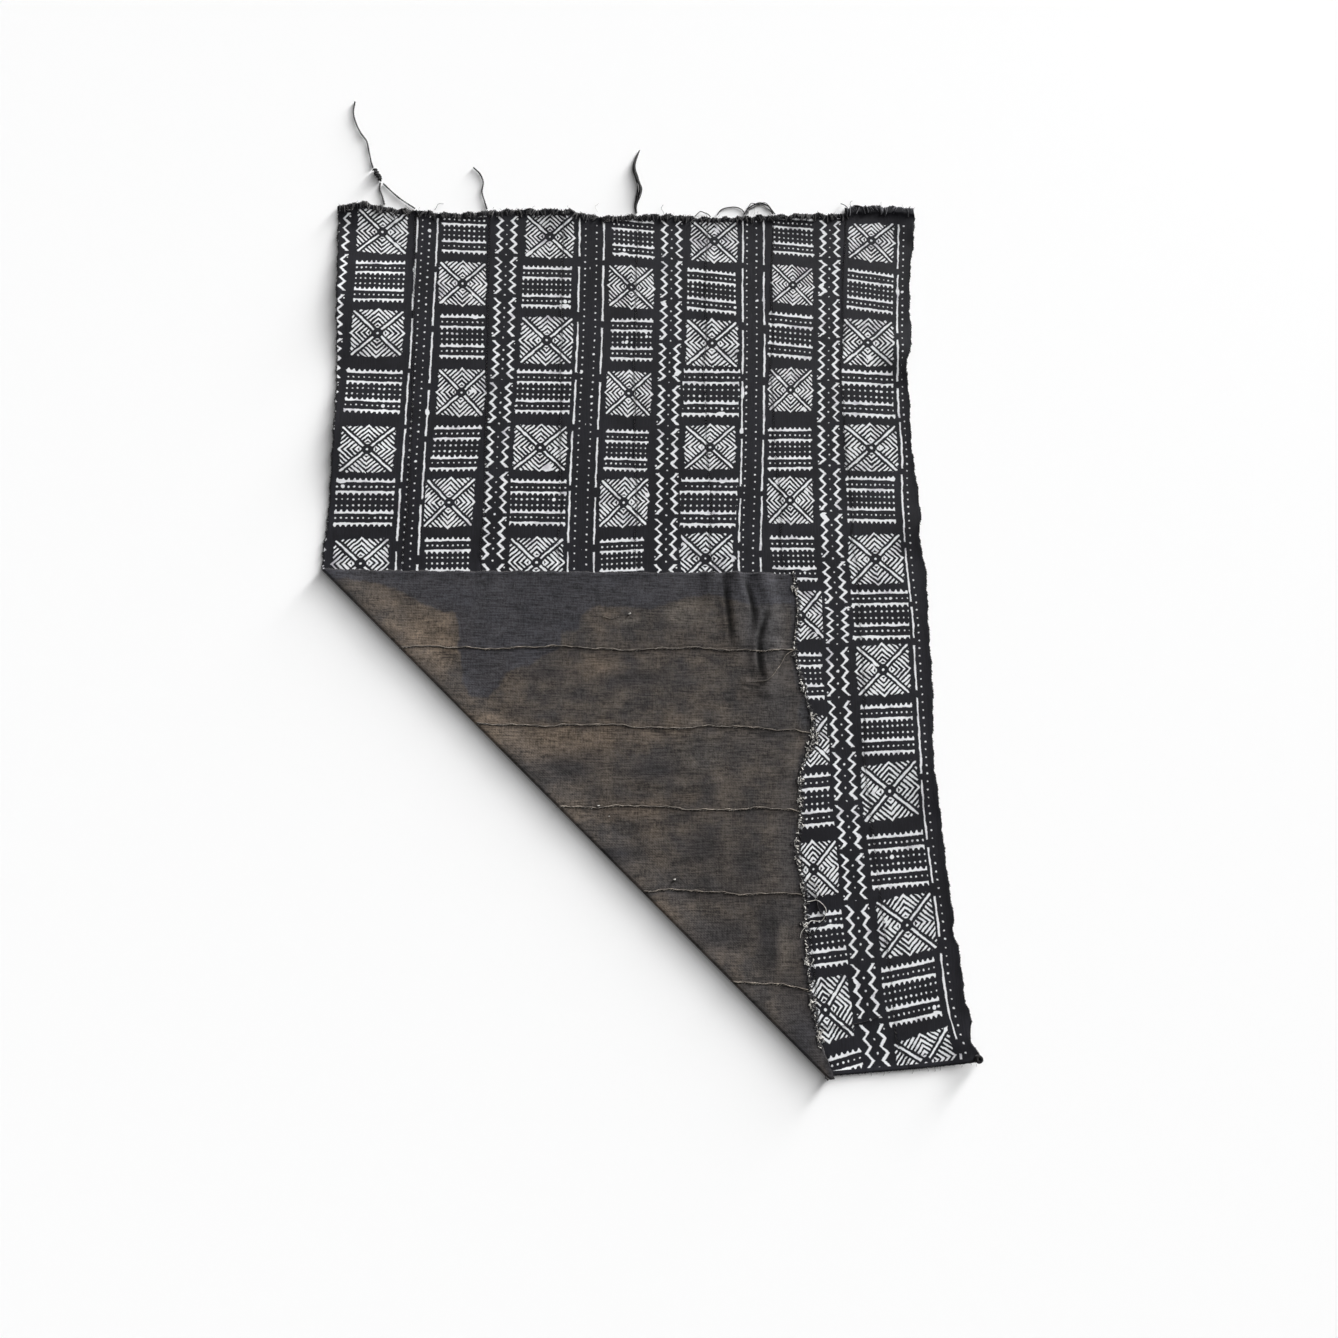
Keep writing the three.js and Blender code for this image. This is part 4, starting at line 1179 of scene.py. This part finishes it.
def threadTree():
    tree = bpy.data.node_groups.new("threads along a line", "GeometryNodeTree")
    for name, kind in (
        ("Lines", "Geometry"), ("Spacing", "Float"), ("Start", "Vector"), ("Start handle", "Vector"),
        ("End handle", "Vector"), ("End", "Vector"), ("Thread radius", "Float"), ("Place spread", "Vector"),
        ("Turn spread", "Vector"), ("Smallest", "Float"), ("Largest", "Float"), ("Seed", "Int"),
        ("Finish", "Material"),
    ):
        tree.interface.new_socket(name, in_out="INPUT", socket_type=f"NodeSocket{kind}")
    tree.interface.new_socket("Threads", in_out="OUTPUT", socket_type="NodeSocketGeometry")
    given = addNode(tree, "NodeGroupInput").outputs
    curve = addNode(tree, "GeometryNodeMeshToCurve", {"Mesh": given["Lines"]})
    even = addNode(tree, "GeometryNodeResampleCurve", {
        "Curve": curve, "Length": given["Spacing"]}, mode="LENGTH")
    spreads = []
    for label, seedStep in (("Place spread", 0.0), ("Turn spread", 17.0)):
        opposite = addNode(tree, "ShaderNodeVectorMath", {0: given[label], 3: -1.0}, operation="SCALE")
        seed = addNode(tree, "ShaderNodeMath", [given["Seed"], seedStep], operation="ADD")
        spreads.append(addNode(tree, "FunctionNodeRandomValue", {
            "Min": opposite, "Max": given[label], "Seed": seed}, data_type="FLOAT_VECTOR"))
    ahead = addNode(tree, "GeometryNodeInputTangent")
    facing = addNode(tree, "FunctionNodeAlignRotationToVector", {"Vector": ahead}, axis="X", pivot_axis="Z")
    turn = addNode(tree, "FunctionNodeRotateRotation", [facing, spreads[1]], rotation_space="LOCAL")
    seedOfSize = addNode(tree, "ShaderNodeMath", [given["Seed"], 31.0], operation="ADD")
    size = addNode(tree, "FunctionNodeRandomValue", {
        2: given["Smallest"], 3: given["Largest"], "Seed": seedOfSize}, data_type="FLOAT")
    moved = addNode(tree, "GeometryNodeSetPosition", {"Geometry": even, "Offset": spreads[0]})
    piece = addNode(tree, "GeometryNodeCurvePrimitiveBezierSegment", {
        "Resolution": 6, "Start": given["Start"], "Start Handle": given["Start handle"],
        "End Handle": given["End handle"], "End": given["End"]}, mode="POSITION")
    section = addNode(tree, "GeometryNodeCurvePrimitiveCircle", {
        "Resolution": 4, "Radius": given["Thread radius"]})
    thread = addNode(tree, "GeometryNodeCurveToMesh", {
        "Curve": piece, "Profile Curve": section.outputs[0], "Fill Caps": True})
    spread = addNode(tree, "GeometryNodeInstanceOnPoints", {
        "Points": moved, "Instance": thread, "Rotation": turn, "Scale": size.outputs[1]})
    real = addNode(tree, "GeometryNodeRealizeInstances", {"Geometry": spread})
    finished = addNode(tree, "GeometryNodeSetMaterial", {"Geometry": real, "Material": given["Finish"]})
    addNode(tree, "NodeGroupOutput", [finished])
    return tree


threadsAlong = threadTree()


def setThreads(name, lines, finish, seed, sizes, lift=None):
    # Threads of the given sizes, in mm, along lines; lift moves their points off what lies under them
    places, edges, start = [], [], 0
    for line in lines:
        places.append((line + middle) * metres)
        edges += [(i, i + 1) for i in range(start, start + len(line) - 1)]
        start += len(line)
    mesh = bpy.data.meshes.new(name)
    mesh.from_pydata(np.vstack(places).tolist(), edges, [])
    carrier = bpy.data.objects.new(name, mesh)
    scene.collection.objects.link(carrier)
    modifier = carrier.modifiers.new("threads", "NODES")
    modifier.node_group = threadsAlong
    values = {
        "Spacing": sizes["spacing"] * metres, "Thread radius": sizes["radius"] * metres,
        "Place spread": [v * metres for v in sizes["place"]],
        "Turn spread": [math.radians(angle) for angle in sizes["turn"]],
        "Smallest": sizes["size"][0], "Largest": sizes["size"][1], "Seed": seed, "Finish": finish}
    for label, point in zip(("Start", "Start handle", "End handle", "End"), sizes["shape"]):
        values[label] = [v * metres for v in point]
    for item in threadsAlong.interface.items_tree:
        if item.name in values:
            modifier[item.identifier] = values[item.name]
    dg = bpy.context.evaluated_depsgraph_get()
    made = bpy.data.meshes.new_from_object(carrier.evaluated_get(dg), depsgraph=dg)
    carrier.modifiers.clear()
    carrier.data = made
    count = len(made.vertices)
    points = np.empty(3 * count)
    made.vertices.foreach_get("co", points)
    points = points.reshape(-1, 3) / metres - middle
    if lift:
        points = lift(points)
    points[:, 2] = np.maximum(points[:, 2], floorGap)
    made.vertices.foreach_set("co", ((points + middle) * metres).ravel())
    made.polygons.foreach_set("use_smooth", [True] * len(made.polygons))
    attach(carrier, "root")
    print(name, len(made.polygons), "faces")


def overBase(points):
    # Keeps points just above the raw edge of the folded corner, and beyond it above the front of the cloth
    edgeX, _, edgeZ = (np.interp(points[:, 1], rawRun[rawOrder, 1], column) for column in rawRun[rawOrder].T)
    low = baseTop(points[:, 0], points[:, 1]) + 0.3
    drop = np.clip(1 - (points[:, 0] - edgeX) / 6, 0, 1)
    over = np.maximum(edgeZ + cloth["thickness"] / 2 + 0.5 - low, 0)
    points[:, 2] = np.maximum(points[:, 2], low + drop * over)
    return points


edgeStitch = {  # over the rim, from the face round the edge
    "spacing": 2.3, "radius": 0.85, "size": (0.7, 1.2), "place": (1.2, 1.0, 0.2), "turn": (5, 8, 34),
    "shape": [(-1.4, -12.5, 1.1), (-0.3, -6.5, 3.4), (0.6, 1.8, 3.2), (0.8, 0.4, -0.6)],
}
selvedge = {  # small bumps of weft that turn back at a woven edge
    "spacing": 2.3, "radius": 0.6, "size": (0.8, 1.1), "place": (0.7, 0.2, 0.1), "turn": (4, 4, 14),
    "shape": [(-1.0, -1.8, 0.9), (-0.4, -0.7, 1.4), (0.5, 0.5, 1.2), (1.0, 0.4, -0.4)],
}
hemStitch = {  # over the rolled hem
    "spacing": 2.1, "radius": 1.0, "size": (0.8, 1.12), "place": (1.4, 1.2, 0.3), "turn": (5, 5, 40),
    "shape": [(-1.5, -15.5, 2.0), (-0.5, -10.0, 4.8), (0.5, 1.6, 5.0), (0.8, 1.0, 0.0)],
}
backStitch = {  # pale whip stitches, seen on the folded corner
    "spacing": 5.6, "radius": 0.4, "size": (0.8, 1.2), "place": (1.0, 0.3, 0.0), "turn": (4, 4, 14),
    "shape": [(-2.4, -1.3, 0.8), (-1.2, -0.7, 1.9), (1.2, 0.7, 1.9), (2.4, 1.3, 0.8)],
}
frontStitch = {  # dark ones, on the front
    "spacing": 6.4, "radius": 0.38, "size": (0.8, 1.15), "place": (0.8, 0.2, 0.0), "turn": (3, 3, 12),
    "shape": [(-2.2, -1.7, 0.75), (-1.1, -0.8, 1.6), (1.1, 0.8, 1.6), (2.2, 1.7, 0.75)],
}
frayDark = {
    "spacing": 1.25, "radius": 0.85, "size": (0.4, 1.2), "place": (0.8, 1.8, 0.4), "turn": (16, 12, 42),
    "shape": [(0.0, -3.5, 0.4), (0.6, 0.5, 1.2), (-1.4, 3.5, 0.0), (1.0, 7.0, -0.4)],
}
frayPale = {
    "spacing": 4.6, "radius": 1.15, "size": (0.35, 0.95), "place": (1.4, 3.2, 0.4), "turn": (20, 12, 80),
    "shape": [(-2.0, -0.5, 0.6), (-0.4, 1.4, 1.6), (0.8, -0.8, 1.4), (2.6, 1.0, 0.4)],
}
edgeFuzz = {
    "spacing": 11.0, "radius": 0.2, "size": (0.3, 1.2), "place": (2.5, 1.2, 0.4), "turn": (45, 30, 75),
    "shape": [(0.0, -2.0, 1.0), (1.6, 1.5, 2.6), (-2.0, 3.6, 0.8), (0.8, 6.0, 1.4)],
}
setThreads("edge_stitches", [edgeRuns["top"]], overcastCotton, 3, edgeStitch)
setThreads("edge_bumps", [line for run, line in edgeRuns.items() if run != "top"], edgeCotton, 11, selvedge)
setThreads("hem_stitches", [hemRun], hemCotton, 4, hemStitch)
setThreads("seam_stitches_front", frontSeams, edgeCotton, 5, frontStitch)
setThreads("seam_stitches_back", backSeams, paleCotton, 6, backStitch)
setThreads("fraying_dark", [rawRun], edgeCotton, 7, frayDark, overBase)
setThreads("fraying_pale", [rawRun], rawCotton, 8, frayPale, overBase)
setThreads("edge_fibres", [edgeRuns["top"], edgeRuns["lower"], hemRun], edgeCotton, 9, edgeFuzz)

# Thick bunches in the fraying, and threads that hang out of the cloth

bunches = [  # mm past the raw edge, y, reach, threads, share of pale ones
    (3, -228, 9, 46, 0.5), (4, -196, 6, 20, 0.4), (0, -246, 7, 24, 0.5), (0, 24, 5, 12, 0.5),
    (1, -90, 5, 12, 0.3), (0, -330, 5, 14, 0.5), (0, -400, 5, 18, 0.6), (2, -428, 4, 12, 0.6),
    (0, -530, 5, 16, 0.5), (2, -585, 6, 18, 0.5), (2, -648, 7, 26, 0.6), (2, -700, 6, 22, 0.6),
    (0, -480, 5, 14, 0.4), (0, -145, 5, 12, 0.4), (1, -300, 5, 14, 0.5), (1, -365, 5, 12, 0.6)]
looseThreads = [  # finish, radius, wander, points x, y, z
    ("dark", 0.95, 0.4, [(160, 739, 2), (165, 747, 1), (175, 753, 1), (192, 755, 1), (206, 750, 1),
                         (210, 740, 2)]),
    ("dark", 0.9, 0.5, [(214, 741, 2), (217, 752, 1), (226, 760, 1), (247, 762, 1), (257, 757, 1),
                        (266, 741, 2)]),
    ("dark", 0.9, 0.5, [(211, 741, 2), (215, 750, 1), (224, 758, 1), (240, 765, 1), (252, 761, 1),
                        (264, 741, 2)]),
    ("dark", 0.8, 0.5, [(216, 741, 2), (221, 752, 1), (230, 757, 1), (244, 759, 1), (254, 753, 1),
                        (262, 741, 2)]),
    ("dark", 0.6, 0.6, [(214, 752, 1), (224, 763, 1), (236, 761, 2), (248, 765, 1), (259, 756, 1)]),
    ("pale", 0.3, 0.6, [(228, 742, 2), (232, 756, 3), (241, 757, 3), (253, 753, 2), (262, 749, 1.5)]),
    ("dark", 0.8, 0.5, [(118, 734, 2.5), (128, 743, 3), (139, 741, 2), (147, 733, 2.5)]),
    ("pale", 0.25, 0.8, [(-60, 741, 2), (-64, 752, 2), (-57, 759, 1.2)]),
    ("dark", 0.3, 0.6, [(-352, 739, 2.5), (-346, 750, 2), (-337, 752, 1.5)]),
    ("dark", 0.3, 0.6, [(62, 736, 2.5), (57, 749, 2), (60, 757, 1.2)]),
    ("dark", 0.35, 0.8, [(412, 757, 4), (408, 766, 3), (414, 771, 2)]),
    ("dark", 0.4, 1.0, [(262, -684, 4.2), (295, -684, 3.2), (347, -678, 3.2), (365, -671, 3.2)]),
    ("dark", 0.7, 1.2, [(254, -475, 4.6), (267, -475, 3.6), (274, -503, 3.4), (284, -520, 3.2),
                        (268, -538, 3.4),
                         (258, -545, 4.5)]),
    ("pale", 0.5, 1.2, [(256, -494, 4.6), (268, -490, 3.5), (279, -497, 3.4), (286, -510, 3.2),
                        (277, -524, 3.2),
                         (262, -522, 3.6), (247, -536, 5.5), (240, -548, 5.2)]),
    ("pale", 0.3, 1.0, [(252, -458, 4.6), (266, -462, 3.4), (275, -470, 3.2), (282, -486, 3.2)]),
    ("back", 0.7, 0.7, [(262, -80, 5.4), (248, -84, 5.6), (238, -96, 5.8), (228, -110, 6.0), (218, -123, 5.8),
                         (208, -131, 5.4), (190, -134, 5.0)]),
    ("back", 0.3, 0.5, [(-64, -18, 5.2), (-50, -22, 5.2), (-37, -19, 5.2)]),
    ("dark", 2.7, 0.2, [(509, -744, 2.8), (510, -739, 3.6), (514, -738, 3.2), (517, -741, 3.0),
                        (516, -745, 3.4), (511, -746, 4.4), (509, -743, 5.0)]),
    ("dark", 1.9, 0.2, [(269, -760, 2.4), (270, -757, 3.0), (273, -756, 3.0), (275, -758, 2.6),
                        (274, -761, 3.6), (271, -762, 4.2)]),
    ("lint", 1.3, 0.2, [(-20, -15, 5.0), (-17, -13, 5.0)]),
    ("lint", 1.0, 0.2, [(-77, -332, 4.2), (-74, -331, 4.2)]),
    ("lint", 1.2, 0.2, [(42, -452, 4.0), (45, -451, 4.0)]),
    ("lint", 0.7, 0.2, [(-60, -349, 4.0), (-58, -348, 4.0)]),
]


def cornerTop(x, y):
    # Height of the upturned back of the folded corner, by its own relief
    return addUnevenness(2 * cloth["thickness"] + cloth["layerGap"] + reliefOfCorner(x, y), x, y)


threadFinishes = {"dark": edgeCotton, "pale": rawCotton, "back": paleCotton, "lint": rawCotton}


def placeThreads(name, parts):
    for kind, meshes in parts.items():
        piece = newPiece(f"{name}_{kind}", *joinMeshes(meshes), [threadFinishes[kind]])
        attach(piece, "root")


bunchParts = {"dark": [], "pale": []}
for x, y, reach, count, pale in bunches:
    edgeX = np.interp(y, rawRun[rawOrder, 1], rawRun[rawOrder, 0])
    for _ in range(count):
        turn = chance.uniform(-1.9, 1.9)
        start = np.array([edgeX + x - 3 + chance.normal() * 2, y + chance.normal() * reach * 0.5, 3.0])
        bend = chance.normal(size=(2, 3)) * [1.8, 1.8, 0.7]
        ahead = np.array([math.cos(turn), math.sin(turn), 0]) * reach * chance.uniform(0.5, 1.5)
        points = overBase(smoothLine([start, start + 0.5 * ahead + bend[0], start + ahead + bend[1]], 5))
        kind = "pale" if chance.uniform() < pale else "dark"
        bunchParts[kind].append(threadMesh(points, chance.uniform(0.45, 0.8), 4))
placeThreads("frayed_bunches", bunchParts)

threadParts = {kind: [] for kind in threadFinishes}
for kind, radius, wander, points in looseThreads:
    line = smoothLine(points, 9)
    steps = np.arange(len(line))
    line[:, 0] += wander * np.sin(steps / 2.3 + points[0][0])
    line[:, 1] += wander * np.sin(steps / 2.9 + points[0][1])
    if kind in ("back", "lint"):
        line[:, 2] = cornerTop(line[:, 0], line[:, 1]) + radius
    elif points[0][1] < 700:
        line[:, 2] = np.maximum(line[:, 2], baseTop(line[:, 0], line[:, 1]) + radius)
    else:
        line[:, 2] = np.maximum(line[:, 2], radius + floorGap)
    threadParts[kind].append(threadMesh(line, radius))

seamRidge = {  # mm
    "radius": 0.85,
    "swell": 0.25,
    "aside": 1.0,  # from the join and its painted shadow
    "above": 0.15,  # the cloth
}
for number, line in enumerate(backSeams):  # the sewn ridge of each seam, a little wavy
    steps = np.arange(len(line))
    ridge = line + [0, seamRidge["aside"], 0]
    ridge[:, 1] += 0.7 * np.sin(steps / 3.7 + number) + 0.5 * np.sin(steps / 1.6 + 2 * number)
    onBend = steps * 2 < 0.4 * bendLength
    clothTop = line[:, 2] + cloth["thickness"] / 2
    overCorner = np.maximum(cornerTop(ridge[:, 0], ridge[:, 1]) + seamRidge["above"], clothTop)
    ridge[:, 2] = np.where(onBend, clothTop, overCorner)
    ridgeRadius = seamRidge["radius"] + seamRidge["swell"] * np.sin(steps / 2.1)
    threadParts["back"].append(threadMesh(ridge, ridgeRadius))
placeThreads("threads", threadParts)
print("threads laid")

# Floor and light

studio = {
    "floor": "#FAFAFA",
    "floorReach": 9000,  # mm
    "floorLevel": -0.3,
    "sky": 0.19,  # strength
    "suns": [  # degrees up, strength, degrees across: a broad panel to the upper right, from high to very low
        (58, 0.28, 40), (28, 1.35, 30), (15, 2.5, 24), (9, 3.8, 18), (5.5, 5.2, 14)],
    "sunsFrom": 46.7,  # degrees from the x axis
}
floorMaterial = newMaterial("pale paper floor")
tree = floorMaterial.node_tree
shader = addNode(tree, "ShaderNodeBsdfPrincipled", {
    "Base Color": linearColour(studio["floor"]), "Roughness": 0.9, "Specular IOR Level": 0.1})
addNode(tree, "ShaderNodeOutputMaterial", [shader])
reach, level = studio["floorReach"], studio["floorLevel"]
floorCorners = [(x * reach, y * reach, level) for x, y in ((-1, -1), (1, -1), (1, 1), (-1, 1))]
floor = newPiece("floor", floorCorners, [[0, 1, 2, 3]], [floorMaterial])

world = bpy.data.worlds.new("studio")
scene.world = world
world.use_nodes = True
world.node_tree.nodes["Background"].inputs["Color"].default_value = (1, 1, 1, 1)
world.node_tree.nodes["Background"].inputs["Strength"].default_value = studio["sky"]
around = math.radians(studio["sunsFrom"])
for upwards, strength, across in studio["suns"]:
    level, height = math.cos(math.radians(upwards)), math.sin(math.radians(upwards))
    fromPlace = (level * math.cos(around), level * math.sin(around), height)
    sunData = bpy.data.lights.new("sun", "SUN")
    sunData.energy = strength
    sunData.angle = math.radians(across)
    sun = bpy.data.objects.new("sun", sunData)
    sun.rotation_mode = "QUATERNION"
    sun.rotation_quaternion = Vector(fromPlace).to_track_quat("Z", "Y")
    scene.collection.objects.link(sun)
scene.view_settings.view_transform = "Standard"
print("studio set")
